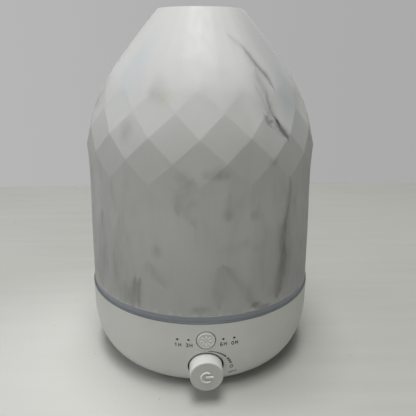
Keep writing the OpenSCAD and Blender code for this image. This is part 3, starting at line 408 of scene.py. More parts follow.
def turned(mesh, profile, steps, point_at, closed=False):
    """Surface turned round an axis. The profile gives each ring's radius and how far along the
    axis it lies; point_at makes a point of two lengths across the axis and one along it."""
    turns = [math.tau * k / steps for k in range(steps)]
    rings = [[mesh.verts.new(point_at(radius * math.cos(turn), radius * math.sin(turn), along))
              for turn in turns] for radius, along in profile]
    for low, high in zip(rings, rings[1:] + (rings[:1] if closed else [])):
        for k in range(steps):
            mesh.faces.new((low[k - 1], low[k], high[k], high[k - 1]))
    return rings


def upright(x, y, z):
    """Point of a piece that is turned round the Z axis."""
    return x, y, z


def pan_head_screw(name, place, head_r, head_h, shank_r, length, material):
    """Screw that points up, with a domed head and a cross recess in it."""
    dome = head_h * 0.45
    dome_steps = 5
    profile = [(shank_r, head_h + length), (shank_r, head_h), (head_r, head_h)]
    for i in range(dome_steps + 1):
        turn = math.radians(90 * i / dome_steps)
        profile.append((head_r - dome * (1 - math.cos(turn)), dome * (1 - math.sin(turn))))
    steps = 32
    mesh = bmesh.new()
    rings = turned(mesh, profile, steps, upright)
    mesh.faces.new(rings[0])
    # The recess narrows down to its floor
    arm, half = head_r * 0.58, head_r * 0.15
    narrowing = 0.72
    recess = head_h * 0.62
    outline = [(half, half), (half, arm), (-half, arm), (-half, half), (-arm, half),
               (-arm, -half), (-half, -half), (-half, -arm), (half, -arm), (half, -half),
               (arm, -half), (arm, half)]
    cross = [mesh.verts.new((x, y, 0)) for x, y in outline]
    floor = [mesh.verts.new((x * narrowing, y * narrowing, recess)) for x, y in outline]
    cross_edges = [mesh.edges.new((cross[k - 1], cross[k])) for k in range(len(cross))]
    rim_edges = [mesh.edges.get((rings[-1][k - 1], rings[-1][k])) for k in range(steps)]
    bmesh.ops.triangle_fill(mesh, edges=cross_edges + rim_edges, use_beauty=True)
    for k in range(len(cross)):
        mesh.faces.new((cross[k - 1], cross[k], floor[k], floor[k - 1]))
    mesh.faces.new(floor)
    bmesh.ops.translate(mesh, verts=mesh.verts, vec=place)
    return link_mesh(name, mesh, material, sharp_angle=35)


def housing_screws():
    """The four screws, in the places of the plain ones."""
    low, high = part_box("housing_screws")
    head_r, head_h, shank_r = 2.6 * MM, 1.4 * MM, 1.3 * MM
    from_middle = high[0] - head_r
    for k, (side_x, side_y) in enumerate(((1, 1), (-1, 1), (-1, -1), (1, -1))):
        screw = pan_head_screw("housing_screw_%d" % (k + 1),
                               (side_x * from_middle, side_y * from_middle, low[2]), head_r,
                               head_h, shank_r, high[2] - low[2] - head_h, zinc_plate)
        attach(screw, "base")
        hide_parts("housing_screws")


housing_screws()


# ---- Fan, duct and air filter ----
# A small black axial fan is screwed on posts over the air slots, with a black foam disc under
# it. Its rotor runs round a copper winding, and a white duct leads the air up to the tank.

black_plastic = moulded_plastic("black_plastic", (0.030, 0.030, 0.033), (0.022, 0.022, 0.024),
                                0.5, grain_scale=1500.0)
finish_nodes(black_plastic, "fan_frame", "fan_rotor", "power_transistor", "control_chip",
             "switch_body", "switch_plunger", "dc_inlet")
duct_white = moulded_plastic("duct_white", (0.70, 0.70, 0.68), (0.66, 0.66, 0.64), 0.5)
finish_nodes(duct_white, "fan_duct")


def winding_copper():
    """Enamelled wire wound round the axis: close even turns, with painted shade in the grooves
    between them.
    """
    material, tree, shader = new_material("winding_copper")
    turns = add(tree, "TexWave", {"Vector": own_place(tree), "Scale": 900.0, "Distortion": 0.6,
                                  "Detail": 1.0}, bands_direction="Z").outputs[1]
    dress(tree, shader, blend_colours(tree, turns, (0.20, 0.06, 0.02), (0.60, 0.24, 0.09)),
          spread(tree, turns, 0.0, 1.0, 0.5, 0.25), turns, 0.1, 0.7)
    join(tree, shader, {"Coat Weight": 0.6})
    return material


finish_nodes(winding_copper(), "fan_motor", "drive_coil")


def filter_foam():
    """Open-cell foam: pale struts, with painted shade in the pores between them."""
    material, tree, shader = new_material("filter_foam")
    cells = add(tree, "TexVoronoi", {"Vector": own_place(tree), "Scale": 900.0},
                feature="DISTANCE_TO_EDGE").outputs[0]
    struts = spread(tree, cells, 0.02, 0.16, 1.0, 0.0)
    dress(tree, shader, blend_colours(tree, struts, (0.008, 0.008, 0.009), (0.06, 0.06, 0.065)),
          0.95, struts, 0.4, 0.9)
    return material


finish_nodes(filter_foam(), "air_filter")


# ---- Circuit boards and what is soldered on them ----
# Two glass-fibre boards in green mask: one flat on posts, one upright behind the panel. The
# flat one carries the disc's driver with its heat sink, and nylon plugs join them by wires.

def copper_tracks_group():
    """Straight tracks that show faintly through the mask over them."""
    tree, given, result = start_group("copper_tracks", [("Track Scale", "Float", 90.0)],
                                      [("Tracks", "Float"), ("Sheen", "Float")])
    place = own_place(tree)
    tracks = add(tree, "TexBrick", {"Vector": place, "Scale": given["Track Scale"],
                                    "Mortar Size": 0.035, "Brick Width": 0.9,
                                    "Row Height": 0.22}).outputs["Fac"]
    drift = noise(tree, place, 120.0, 3.0)
    join(tree, result, {"Tracks": product(tree, tracks, spread(tree, drift, 0.4, 0.6)),
                        "Sheen": spread(tree, drift, 0.3, 0.7)})
    return tree


copper_tracks = copper_tracks_group()


def solder_mask(name, colour, track):
    """Board under solder mask: the copper tracks show as a paler tone."""
    material, tree, shader = new_material(name)
    under = add(tree, "Group", node_tree=copper_tracks).outputs
    dress(tree, shader, blend_colours(tree, under["Tracks"], colour, track),
          reckon(tree, "MULTIPLY_ADD", under["Sheen"], 0.14, 0.28), under["Tracks"], 0.05, 0.6)
    return material


finish_nodes(solder_mask("green_mask", (0.010, 0.085, 0.030), (0.035, 0.19, 0.075)),
             "main_board", "control_board")
finish_nodes(solder_mask("white_mask", (0.70, 0.71, 0.68), (0.78, 0.78, 0.74)), "lamp_board")
drawn_aluminium = worn_metal("drawn_aluminium", (0.66, 0.67, 0.69), 0.38)
finish_nodes(drawn_aluminium, "heat_sink", "control_shaft", "mist_control")
plug_nylon = moulded_plastic("plug_nylon", (0.72, 0.66, 0.50), (0.66, 0.60, 0.45), 0.45)
finish_nodes(plug_nylon, "board_plugs", "panel_plug")
sleeve_blue = moulded_plastic("sleeve_blue", (0.020, 0.030, 0.12), (0.014, 0.022, 0.09), 0.28)
finish_nodes(sleeve_blue, "capacitors")


def lamp_face():
    """White lamp body with a yellow phosphor spot; it is off."""
    material, tree, shader = new_material("lamp_face")
    spots = spread(tree, noise(tree, own_place(tree), 420.0, 1.0), 0.4, 0.6)
    colour = blend_colours(tree, spots, (0.75, 0.72, 0.60), (0.80, 0.66, 0.20))
    join(tree, shader, {"Base Color": colour, "Roughness": 0.3})
    return material


finish_nodes(lamp_face(), "timer_lamps", "ring_lights")


# ---- Timer lamp windows ----
# One smoked moulding behind the panel ends in four small round windows, a little below the
# surface. They look black while the lamps behind them are off.

smoked_lens = moulded_plastic("smoked_lens", (0.012, 0.012, 0.014), (0.009, 0.009, 0.010), 0.16,
                              grain_depth=0.005)
finish_nodes(smoked_lens, "light_pipes")


# ---- Panel print ----
# Dark grey pad print on the panel: hours under the lamp windows, and a scale round the knob that
# ends in a small ring and OFF. The ink is a film that follows the housing.

letter_h = 2.7 * MM
letter_w = 1.6 * MM
letter_line = 0.58 * MM
ink_film = 0.05 * MM
housing_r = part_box("base_shell")[1][0]
bowl_top = 41.5 * MM
bowl_depth = 40 * MM
bowl_inset = 22 * MM


def housing_front(x, z):
    """Depth of the housing's front surface."""
    below = max(0, bowl_top - z) / bowl_depth
    radius = housing_r - bowl_inset * (1 - math.sqrt(1 - below * below))
    return -math.sqrt(radius * radius - x * x)


def ink_line(mesh, points, widths):
    """Closed film of ink along a line on the panel. Points are (x, z), with a width for each."""
    sharpest = 0.6
    rows = []
    for k, ((x, z), width) in enumerate(zip(points, widths)):
        before = Vector(points[k]) - Vector(points[k - 1]) if k else None
        after = Vector(points[k + 1]) - Vector(points[k]) if k + 1 < len(points) else None
        before, after = (before or after).normalized(), (after or before).normalized()
        along = (before + after).normalized()
        side = Vector((-along.y, along.x)) * width / 2 / max(along.dot(after), sharpest)
        row = []
        for edge in (-1, 1):
            at_x, at_z = x + edge * side.x, z + edge * side.y
            front = housing_front(at_x, at_z)
            row += [mesh.verts.new((at_x, front - ink_film, at_z)),
                    mesh.verts.new((at_x, front + ink_film, at_z))]
        rows.append(row)
    for (a, b, c, d), (e, f, g, h) in zip(rows, rows[1:]):
        for corners in ((a, c, g, e), (b, f, h, d), (a, e, f, b), (c, d, h, g)):
            mesh.faces.new(corners)
    for a, b, c, d in (rows[0], rows[-1]):
        mesh.faces.new((a, b, d, c))


def arc_points(middle_x, middle_z, radius, start, end, steps):
    """Points on an arc from start to end, in degrees."""
    angles = [math.radians(start + (end - start) * k / steps) for k in range(steps + 1)]
    points = [(middle_x + radius * math.cos(turn), middle_z + radius * math.sin(turn))
              for turn in angles]
    if abs(end - start) == 360:
        points[-1] = points[0]
    return points


# Strokes of each letter in a box one wide and one high
letter_strokes = {
    "1": (((0.15, 0.75), (0.55, 1), (0.55, 0)),),
    "3": (((0.08, 0.86), (0.32, 1), (0.72, 0.98), (0.92, 0.78), (0.76, 0.57), (0.4, 0.53)),
          ((0.76, 0.53), (1, 0.27), (0.8, 0.03), (0.36, 0), (0.04, 0.16))),
    "6": (((0.88, 0.9), (0.58, 1), (0.24, 0.86), (0.05, 0.5), (0.1, 0.16), (0.4, 0), (0.8, 0.06),
           (0.96, 0.32), (0.76, 0.56), (0.38, 0.58), (0.1, 0.4)),),
    "H": (((0, 0), (0, 1)), ((1, 0), (1, 1)), ((0, 0.52), (1, 0.52))),
    "O": (((0.5, 1), (0.16, 0.86), (0, 0.5), (0.16, 0.14), (0.5, 0), (0.84, 0.14), (1, 0.5),
           (0.84, 0.86), (0.5, 1)),),
    "N": (((0, 0), (0, 1)), ((0.02, 0.98), (0.98, 0.02)), ((1, 0), (1, 1))),
    "F": (((0, 0), (0, 1)), ((0, 1), (0.95, 1)), ((0, 0.53), (0.75, 0.53))),
}


def ink_word(mesh, word, middle_x, middle_z, height, width, line, tilt):
    """Word in upright strokes, turned about its middle by the tilt in degrees. Each stroke has
    points enough to follow the curved housing."""
    pitch = width + 2 * line
    parts = 4
    for place, letter in enumerate(word):
        left = (place - (len(word) - 1) / 2) * pitch - width / 2
        for stroke in letter_strokes[letter]:
            points = []
            for x, z in stroke:
                spot = Vector((left + x * width, (z - 0.5) * height))
                spot.rotate(Matrix.Rotation(math.radians(tilt), 2))
                points.append(Vector((middle_x + spot.x, middle_z + spot.y)))
            fine = [start.lerp(end, part / parts)
                    for start, end in zip(points, points[1:]) for part in range(parts)]
            fine.append(points[-1])
            ink_line(mesh, fine, [line] * len(fine))


def printing_ink():
    """Matt dark grey ink whose film is a little uneven."""
    material, tree, shader = new_material("print_grey")
    film = noise(tree, own_place(tree), 1500.0, 3.0)
    thin = spread(tree, film, 0.40, 0.70)
    join(tree, shader, {
        "Base Color": blend_colours(tree, thin, (0.050, 0.050, 0.052), (0.085, 0.085, 0.0884)),
        "Roughness": spread(tree, film, 0.3, 0.7, 0.50, 0.65)})
    return material


def panel_print():
    """All the words and lines of the panel, as one piece."""
    mesh = bmesh.new()
    # Each word of the timer: its middle, and its tilt in degrees
    for word, x, z, tilt in (("1H", -19.9, 43.2, 0), ("3H", -12.0, 43.2, 0),
                             ("6H", 12.3, 43.5, 2), ("ON", 20.5, 43.5, 4)):
        ink_word(mesh, word, x * MM, z * MM, letter_h, letter_w, letter_line, tilt)
    ink_word(mesh, "OFF", 20.3 * MM, 14.6 * MM, 2.4 * MM, 1.5 * MM, 0.42 * MM, 4)

    # The scale is part of a circle: a line that swells, three dashes and a small oval
    scale = (1.3 * MM, 20.6 * MM, 17.6 * MM)
    swell_steps = 24
    ink_line(mesh, arc_points(*scale, 89, 41, swell_steps),
             [(0.35 + 0.75 * k / swell_steps) * MM for k in range(swell_steps + 1)])
    dash_turn, dash_line = 5.4, 1.75 * MM
    for start in (36.0, 28.5, 21.0):
        ink_line(mesh, arc_points(*scale, start, start - dash_turn, 4), [dash_line] * 5)
    oval_x, oval_z = arc_points(*scale, 3.5, 3.5, 1)[0]
    half_w, half_h, oval_line = 0.95 * MM, 1.6 * MM, 0.6 * MM
    oval = [(oval_x + half_w * x, oval_z + half_h * z) for x, z in arc_points(0, 0, 1, 0, 360, 24)]
    ink_line(mesh, oval, [oval_line] * len(oval))
    return link_mesh("panel_print", mesh, printing_ink(), smooth=False)


panel_ink = panel_print()
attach(panel_ink, "base")


# ---- Knob ----
# A cap of the same white plastic with a slight taper and a rounded front edge. Its side is
# coloured whiter, a painted highlight, and its front face greyer, a painted shade. It sits on the
# control's shaft in a round well, and carries a raised open ring with a bar in its gap. The
# rounded beads of that mark are moulded on the face.

# Whiter than the housing: a painted highlight on the cap's lit side
knob_white = moulded_plastic("knob_white", (0.82, 0.82, 0.80), (0.79, 0.79, 0.77), 0.38,
                             grain_scale=1300.0, grain_depth=0.06)
face_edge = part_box("knob")[0][1] + 0.5 * MM


def painted_face_shade(material):
    """Painted shade: the front face of the cap is coloured greyer than its side."""
    tree, shader, colour = opened(material)
    depth = add(tree, "SeparateXYZ", {0: own_place(tree)}).outputs[1]
    face = spread(tree, depth, face_edge, face_edge + 0.8 * MM, 1.0, 0.0)
    join(tree, shader, {"Base Color": blend_colours(tree, face, colour, (0.50, 0.50, 0.477))})


painted_face_shade(knob_white)
finish_nodes(knob_white, "knob")


def raised_bead(mesh, points, widths, height, front):
    """Rounded bead along a line on an upright face. Points are (x, z), with a width for each."""
    around_steps = 8
    sunk = 0.05 * MM
    rows = []
    for k, ((x, z), width) in enumerate(zip(points, widths)):
        along = Vector(points[min(k + 1, len(points) - 1)]) - Vector(points[max(k - 1, 0)])
        along.normalize()
        row = []
        for step in range(around_steps + 1):
            turn = math.pi * step / around_steps
            out = math.cos(turn) * width / 2
            lift = math.sin(turn) * height * min(1, width / max(widths) + 0.3) - sunk
            row.append(mesh.verts.new((x - along.y * out, front - lift, z + along.x * out)))
        rows.append(row)
    for low, high in zip(rows, rows[1:]):
        for step in range(around_steps):
            mesh.faces.new((low[step], low[step + 1], high[step + 1], high[step]))
        mesh.faces.new((low[-1], low[0], high[0], high[-1]))
    mesh.faces.new(rows[0])
    mesh.faces.new(rows[-1])


def rounded_ends(full, count, ends=3):
    """Widths along a line that narrow at both ends."""
    return [full * math.sqrt(max(0.06, 1 - max(0, 1 - min(k, count - 1 - k) / ends) ** 2))
            for k in range(count)]


def relief_shade_group():
    """How far a spot lies from the foot of a raised mark to its crest: 0 at the foot, where shade
    is painted, and 1 at the crest. Foot and crest are depths on the upright face."""
    tree, given, result = start_group("relief_shade", [("Foot", "Float", 0.0),
                                                      ("Crest", "Float", 0.0)],
                                      [("Unshaded", "Float")])
    depth = add(tree, "SeparateXYZ", {0: own_place(tree)}).outputs[1]
    join(tree, result, {"Unshaded": spread(tree, depth, given["Crest"], given["Foot"], 1.0, 0.0)})
    return tree


relief_shade = relief_shade_group()


def relief_white(name, foot, crest):
    """White plastic of a raised mark: its white is a painted highlight, lighter than the face it
    stands on, and painted shade lies round its foot.
    """
    material = moulded_plastic(name, (0.82, 0.82, 0.79), (0.79, 0.79, 0.76), 0.36)
    tree, shader, colour = opened(material)
    # Painted shade round the foot of the mark
    unshaded = add(tree, "Group", {"Foot": foot, "Crest": crest}, node_tree=relief_shade).outputs[0]
    join(tree, shader, {"Base Color": blend_colours(tree, unshaded, (0.34, 0.34, 0.33), colour)})
    return material


def knob_mark_beads():
    """The raised open ring on the knob's face, with a bar in its gap."""
    middle = middle_of("knob")
    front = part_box("knob")[0][1] + 0.35 * MM
    mark_r, mark_line, mark_h, mark_steps = 3.9 * MM, 1.6 * MM, 1.05 * MM, 40
    bar_x, bar_z, bar_l = -1.1 * MM, 0.45 * MM, 6.2 * MM
    bar_line, bar_h, bar_steps = 2.0 * MM, 1.1 * MM, 12
    mesh = bmesh.new()
    raised_bead(mesh, arc_points(middle.x, middle.z, mark_r, 47, 319, mark_steps),
                rounded_ends(mark_line, mark_steps + 1), mark_h, front)
    bar = [(middle.x + bar_x + bar_l * k / bar_steps, middle.z + bar_z)
           for k in range(bar_steps + 1)]
    raised_bead(mesh, bar, rounded_ends(bar_line, bar_steps + 1), bar_h, front)
    material = relief_white("mark_white", front - 0.1 * MM, front - 0.75 * MM)
    made = link_mesh("knob_mark", mesh, material, sharp_angle=50)
    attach(made, "knob")


knob_mark_beads()


# ---- Timer button ----
# A round cap that stands just out of the panel in a narrow gap. Its edge is a full round that
# rises into a rim, and eight petals stand out on the sunk middle of its face.

button_white = moulded_plastic("button_white", (0.65, 0.65, 0.62), (0.62, 0.62, 0.59), 0.36)
finish_nodes(button_white, "timer_button")


def button_face():
    """The rounded face of the cap, and the petals that stand out on it."""
    middle_z = middle_of("timer_button").z
    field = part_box("timer_button")[0][1] - 0.08 * MM

    def facing_front(x, z, depth):
        return x, field + depth, middle_z + z

    # Radius, and depth behind the sunk middle, from the middle out and round to the back
    profile = ((4.90, 0.0), (5.10, -0.06), (5.30, -0.26), (5.50, -0.40), (5.72, -0.44),
               (5.95, -0.36), (6.15, -0.18), (6.32, 0.08), (6.44, 0.42), (6.50, 0.80),
               (6.50, 1.60))
    mesh = bmesh.new()
    rings = turned(mesh, [(radius * MM, depth * MM) for radius, depth in profile], 72,
                   facing_front)
    mesh.faces.new(rings[0])
    mesh.faces.new(rings[-1])
    face = link_mesh("button_face", mesh, button_white, sharp_angle=50)

    # Each petal runs outwards: its distance from the middle, and its width there
    petal = ((1.25, 0.4), (1.6, 0.75), (2.1, 1.15), (2.7, 1.5), (3.2, 1.75), (3.7, 1.6),
             (4.05, 1.0), (4.2, 0.4))
    petal_h = 0.65 * MM
    petal_count = 8
    mesh = bmesh.new()
    for k in range(petal_count):
        turn = math.tau * k / petal_count
        line = [(reach * math.cos(turn) * MM, middle_z + reach * math.sin(turn) * MM)
                for reach, width in petal]
        raised_bead(mesh, line, [width * MM for reach, width in petal], petal_h, field)
    material = relief_white("petal_white", field - 0.05 * MM, field - 0.45 * MM)
    petals = link_mesh("button_petals", mesh, material, sharp_angle=50)
    for made in (face, petals):
        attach(made, "button")


button_face()


# ---- Wires ----
# Stranded copper in coloured, slightly glossy insulation. The wires of a group run side by
# side from the pins of one plug to the part that they feed.

for wire_name, wire_colour in (("power_wires", (0.40, 0.02, 0.015)),
                               ("fan_wires", (0.10, 0.10, 0.105)),
                               ("disc_wires", (0.02, 0.06, 0.30)),
                               ("panel_wires", (0.70, 0.70, 0.67)),
                               ("light_wires", (0.62, 0.42, 0.03))):
    darker_tone = tuple(tone * 0.8 for tone in wire_colour)
    finish_nodes(moulded_plastic(wire_name, wire_colour, darker_tone, 0.42), wire_name)


# ---- Ultrasonic disc ----
# A thin ceramic disc, plated on both faces, that shakes the water into mist. It sits in a
# rubber ring, and a steel plate with three screws clamps it under the tank.

finish_nodes(worn_metal("disc_plating", (0.78, 0.64, 0.36), 0.25), "mist_disc")


# ---- Water tank, lid and their seals ----
# Tank and lid are milky, slightly blue polypropylene. The lid has a soft silicone ring under
# it, and its chimney ends in a matt white nozzle.

def milky_plastic():
    """Polypropylene that lets a little light through."""
    material, tree, shader = new_material("tank_milky")
    grain = add(tree, "Group", node_tree=moulded_grain).outputs
    dress(tree, shader,
          blend_colours(tree, grain["Tone"], (0.68, 0.725, 0.745), (0.70, 0.745, 0.765)),
          spread(tree, grain["Sheen"], 0.0, 1.0, 0.29, 0.41), grain["Height"], 0.003, 0.4)
    join(tree, shader, {"Transmission Weight": 0.12, "IOR": 1.49})
    return material


finish_nodes(milky_plastic(), "water_tank", "tank_lid")
clear_silicone = rubber("clear_silicone", (0.50, 0.51, 0.49), 0.45)
finish_nodes(clear_silicone, "lid_seal", "ring_seal")
finish_nodes(moulded_plastic("nozzle_white", (0.74, 0.74, 0.72), (0.70, 0.70, 0.68), 0.48),
             "mist_nozzle")


# ---- Light ring ----
# A smooth ring of smoky blue grey diffusing plastic between the base and the cover. It is dense
# enough to look solid while its lamps are off. A thin edge of it laps over the housing's bevel.

ring_smoke = moulded_plastic("ring_smoke", (0.245, 0.268, 0.290), (0.225, 0.246, 0.268), 0.34,
                             grain_depth=0.01)
finish_nodes(ring_smoke, "light_ring")

# The thin edge is coloured darker: painted shade at the seam, where nothing white lies behind it
# to light it through
edge_shade_smoke = moulded_plastic("edge_shade_smoke", (0.135, 0.148, 0.162), (0.125, 0.137, 0.150), 0.42,
                             grain_depth=0.01)


def ring_edge():
    """Closed ring turned from its section."""
    housing_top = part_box("base_shell")[1][2]
    # Each point: how far out past the side of the housing it lies, and how far over its top
    section = ((-1.2, -0.1), (-1.2, 0.3), (-0.65, 0.27), (-0.28, 0.06), (-0.05, -0.28),
               (0.05, -0.65), (0.05, -0.88), (-0.1, -0.96), (-0.7, -0.5))
    mesh = bmesh.new()
    turned(mesh, [(housing_r + out * MM, housing_top + over * MM) for out, over in section],
           288, upright, closed=True)
    return link_mesh("ring_edge", mesh, edge_shade_smoke, sharp_angle=50)


lapping_edge = ring_edge()
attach(lapping_edge, "base")


# ---- Cover ----
# One tall moulding of glazed white plastic with a printed marble pattern. Rows of diamond facets
# run round its shoulder, and fade into the plain wall below and into the cone above. It drops
# over the lip of the light ring and lifts off by hand.

facet_count = 16
facet_h = 15.4 * MM
facet_turn = -2.8
half_facet = 180 / facet_count
cover_wall = 2.6 * MM
cover_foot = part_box("cover")[0][2]
cover_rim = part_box("cover")[1][2]
facet_foot = cover_foot + 91.7 * MM

# Outline from the foot to the rim: height, radius, and how much of the facets is left there.
# The corners of the facets lie on five of these rings, and change sides from one to the next.
first_corner_ring = 3
corner_radii = ((87.7, 0.6), (87.8, 1), (85.4, 1), (79.05, 1), (71.5, 0.4))
cover_outline = [(cover_foot, 89.15 * MM, 0), (cover_foot + 39.5 * MM, 88.5 * MM, 0),
                 (facet_foot - facet_h, 87.3 * MM, 0.25)]
for row, (radius, share) in enumerate(corner_radii):
    cover_outline.append((facet_foot + row * facet_h, radius * MM, share))
for drop, radius in ((37.5, 62.8), (25.5, 53.2), (12.5, 42.5), (0, 31.5)):
    cover_outline.append((cover_rim - drop * MM, radius * MM, 0))
mouth_r = cover_outline[-1][1]


def middle_reach(ring):
    """Radius of a ring in the middle between two corners."""
    return ring[1] * (1 - ring[2] * (1 - math.cos(math.radians(half_facet))))


def facet_reach(turn, height):
    """Radius of the cover with sharp edges, at a turn that is counted in half facets.

    Each facet lies round the middle between two corners of a ring. It is two flat triangles,
    and a parabola takes the crease between them out."""
    level = 0
    while level < len(cover_outline) - 2 and cover_outline[level + 1][0] <= height:
        level += 1
    low, high = cover_outline[level:level + 2]
    up = (height - low[0]) / (high[0] - low[0])
    column = math.floor(turn)
    along = turn - column
    corner_low = (column + level - first_corner_ring) % 2 == 0

    def point(side, ring, corner):
        angle = math.radians(side * half_facet)
        reach = ring[1] if corner else middle_reach(ring)
        return Vector((reach * math.sin(angle), reach * math.cos(angle), ring[0]))

    if corner_low:
        first, second = point(0, low, True), point(1, high, True)
        upper = up > along
        side = 0 if upper else 1
    else:
        first, second = point(1, low, True), point(0, high, True)
        upper = up > 1 - along
        side = 1 if upper else 0
    third = point(side, high if upper else low, False)
    normal = (second - first).cross(third - first)
    angle = math.radians(along * half_facet)
    reach = ((normal.dot(first) - normal.z * height)
             / (normal.x * math.sin(angle) + normal.y * math.cos(angle)))
    centre = level + 1 if upper else level
    if first_corner_ring <= centre < first_corner_ring + len(corner_radii):
        across = max(1 - abs(along - side), 0.001)
        gap = max(across - (1 - up if upper else up), 0)
        bend = (cover_outline[centre - 1][1] + cover_outline[centre + 1][1]
                - 2 * middle_reach(cover_outline[centre]))
        reach += bend * gap * gap / (4 * across)
    return reach


# Places round a point that are averaged into it, with their weights: up, and round in half facets
soft_lifts = ((-1.2, 1), (-0.6, 2), (0, 3), (0.6, 2), (1.2, 1))
soft_sides = ((-0.042, 1), (0, 2), (0.042, 1))


def cover_radius(turn, height):
    """Radius with soft edges: crisp on the facets, and softer below and above them."""
    crisp, softest = 0.45 * MM, 5 * MM
    above = max(0, height - facet_foot - 3.2 * facet_h) / 3
    below = max(0, facet_foot + 0.5 * facet_h - height) / 7
    size = min(crisp + above + below, softest)
    total = weights = 0
    for lift, weight in soft_lifts:
        for side, side_weight in soft_sides:
            weights += weight * side_weight
            total += weight * side_weight * facet_reach(turn + side * size / MM,
                                                        height + lift * size)
    return total / weights


foot_round = 0.15 * MM
# The rounded lip starts a little below the rim, where the cone is still wider
lip_round = 0.8 * MM
lip_start = 0.9 * MM
lip_lean = 0.3 * MM


def cover_levels(facet_steps, plain_step):
    """Heights of the rings: the same number between any two rows of corners."""
    step = facet_h / facet_steps
    levels = [facet_foot + k * step
              for k in range(-facet_steps, len(corner_radii) * facet_steps + 1)]
    for low, high, at_end in ((cover_foot + foot_round, levels[0], False),
                              (levels[-1], cover_rim - lip_start, True)):
        count = round((high - low) / plain_step)
        added = [low + (high - low) * k / count for k in range(count + 1)]
        levels = levels + added[1:] if at_end else added[:-1] + levels
    return levels


def cover_shell():
    """Closed shell: up the outside with its facets, over the rim and down the inside."""
    per_facet = 16
    count = 2 * facet_count * per_facet
    rings = []

    def ring(height, radii):
        points = []
        for k in range(count):
            angle = math.radians(facet_turn + half_facet * k / per_facet)
            radius = radii[k % len(radii)]
            points.append((radius * math.sin(angle), -radius * math.cos(angle), height))
        rings.append(points)

    def row_of_radii(height):
        return [cover_radius(k / per_facet, height) for k in range(2 * per_facet)]

    def wall_across(height):
        """Thickness of the wall measured level, where the cover leans in."""
        rise = 4 * MM
        above = min(height + rise, cover_rim)
        lean = (cover_radius(0.5, above - rise) - cover_radius(0.5, above)) / rise
        return cover_wall * math.hypot(1, lean)

    def lip_rings(edge, way, *turns):
        """Rings of the rounded rim; the way is 1 on its outside and -1 on its inside."""
        for turn in turns:
            turn = math.radians(turn)
            ring(cover_rim - lip_round * (1 - math.sin(turn)),
                 [edge - way * lip_round * (1 - math.cos(turn))])

    ring(cover_foot, [cover_outline[0][1] - foot_round])
    levels = cover_levels(per_facet, 4 * MM)
    for height in levels:
        ring(height, row_of_radii(height))
    lip_rings(mouth_r + lip_lean, 1, 25, 50, 75, 90)
    lip_rings(mouth_r - wall_across(cover_rim), -1, 90, 60, 30, 0)
    for height in reversed(cover_levels(4, 8 * MM)[:-1]):
        inset = wall_across(height)
        ring(height, [radius - inset for radius in row_of_radii(height)])
    ring(cover_foot, [cover_outline[0][1] - cover_wall])

    # The four-sided faces of the facets are split along the creases
    mesh = bmesh.new()
    made = [[mesh.verts.new(point) for point in points] for points in rings]
    first_facet_ring = 1 + levels.index(facet_foot)
    for level, (low, high) in enumerate(zip(made, made[1:] + made[:1])):
        band = (level - first_facet_ring) // per_facet
        for k in range(count):
            after = (k + 1) % count
            a, b, c, d = low[k], low[after], high[after], high[k]
            if not -1 <= band < len(corner_radii):
                faces = ((a, b, c, d),)
            elif (band + k // per_facet) % 2:
                faces = ((a, b, d), (b, c, d))
            else:
                faces = ((a, b, c), (a, c, d))
            for corners in faces:
                mesh.faces.new(corners)
    return mesh


cover_plan_foot = 60 * MM
cover_span = 212 * MM
cover_girth = 540 * MM


def cover_plan_group():
    """Where a point lies on the unrolled cover, wavering like ink in water.

    Angle and height run from 0 to 1, and the plan is in metres. Streak is a noise drawn out
    upwards, as the print is."""
    tree, given, result = start_group(
        "cover_plan", [("Waver", "Float", 1.0)],
        [("Angle", "Float"), ("Height", "Float"), ("Plan", "Vector"), ("Streak", "Float")])
    place = own_place(tree)
    broad = add(tree, "TexNoise", {"Vector": place, "Scale": 55.0, "Detail": 4.0,
                                   "Roughness": 0.65}).outputs[1]
    shifts = add(tree, "SeparateXYZ", {0: broad}).outputs

    def wavering(value, shift, reach):
        off = product(tree, reckon(tree, "SUBTRACT", shift, 0.5), given["Waver"])
        return reckon(tree, "MULTIPLY_ADD", off, reach, value)

    spot = add(tree, "SeparateXYZ", {0: place}).outputs
    bearing = reckon(tree, "ARCTAN2", spot[0], product(tree, spot[1], -1.0))
    angle = wavering(reckon(tree, "MULTIPLY_ADD", bearing, 1 / math.tau, 0.5), shifts[0], 0.016)
    height = wavering(reckon(tree, "MULTIPLY_ADD", spot[2], 1 / cover_span,
                             -cover_plan_foot / cover_span), shifts[1], 0.030)
    plan = add(tree, "CombineXYZ", {0: product(tree, angle, cover_girth),
                                    1: product(tree, height, cover_span)}).outputs[0]
    streak = noise(tree, stretched(tree, place, (1.0, 1.0, 0.22)), 190.0, 4.0, 0.6)
    join(tree, result, {"Angle": angle, "Height": height, "Plan": plan, "Streak": streak})
    return tree


def gap_between(tree, first, second):
    """Distance between two values."""
    return reckon(tree, "ABSOLUTE", reckon(tree, "SUBTRACT", first, second))


def vein_group():
    """Mask of a vein: 1 on its line, low at its half width, with a faint halo. Lengths are shares
    of the girth."""
    tree, given, result = start_group(
        "vein", [("Angle", "Float", 0.5), ("Line", "Float", 0.5), ("Half Width", "Float", 0.002)],
        [("Mask", "Float")])
    away = gap_between(tree, given["Angle"], given["Line"])
    ratio = reckon(tree, "DIVIDE", away, reckon(tree, "MAXIMUM", given["Half Width"], 0.00001))
    halo = product(tree, spread(tree, ratio, 0.0, 2.2, 1.0, 0.0), 0.35)
    core = spread(tree, ratio, 0.0, 1.0, 1.0, 0.0)
    join(tree, result, {"Mask": reckon(tree, "MULTIPLY_ADD", core, 0.65, halo)})
    return tree


def curve_lookup(tree, position, points, handle="AUTO"):
    """Value read off a curve through points, both from 0 to 1."""
    made = add(tree, "FloatCurve", {1: position})
    curve = made.mapping.curves[0]
    ends = (points[0], points[-1])
    for point, (where, value) in zip(curve.points, ends):
        point.location = (where, value)
    for where, value in points[1:-1]:
        curve.points.new(where, value)
    for point in curve.points:
        point.handle_type = handle
    made.mapping.update()
    return made.outputs[0]


cover_plan = cover_plan_group()
vein_shape = vein_group()

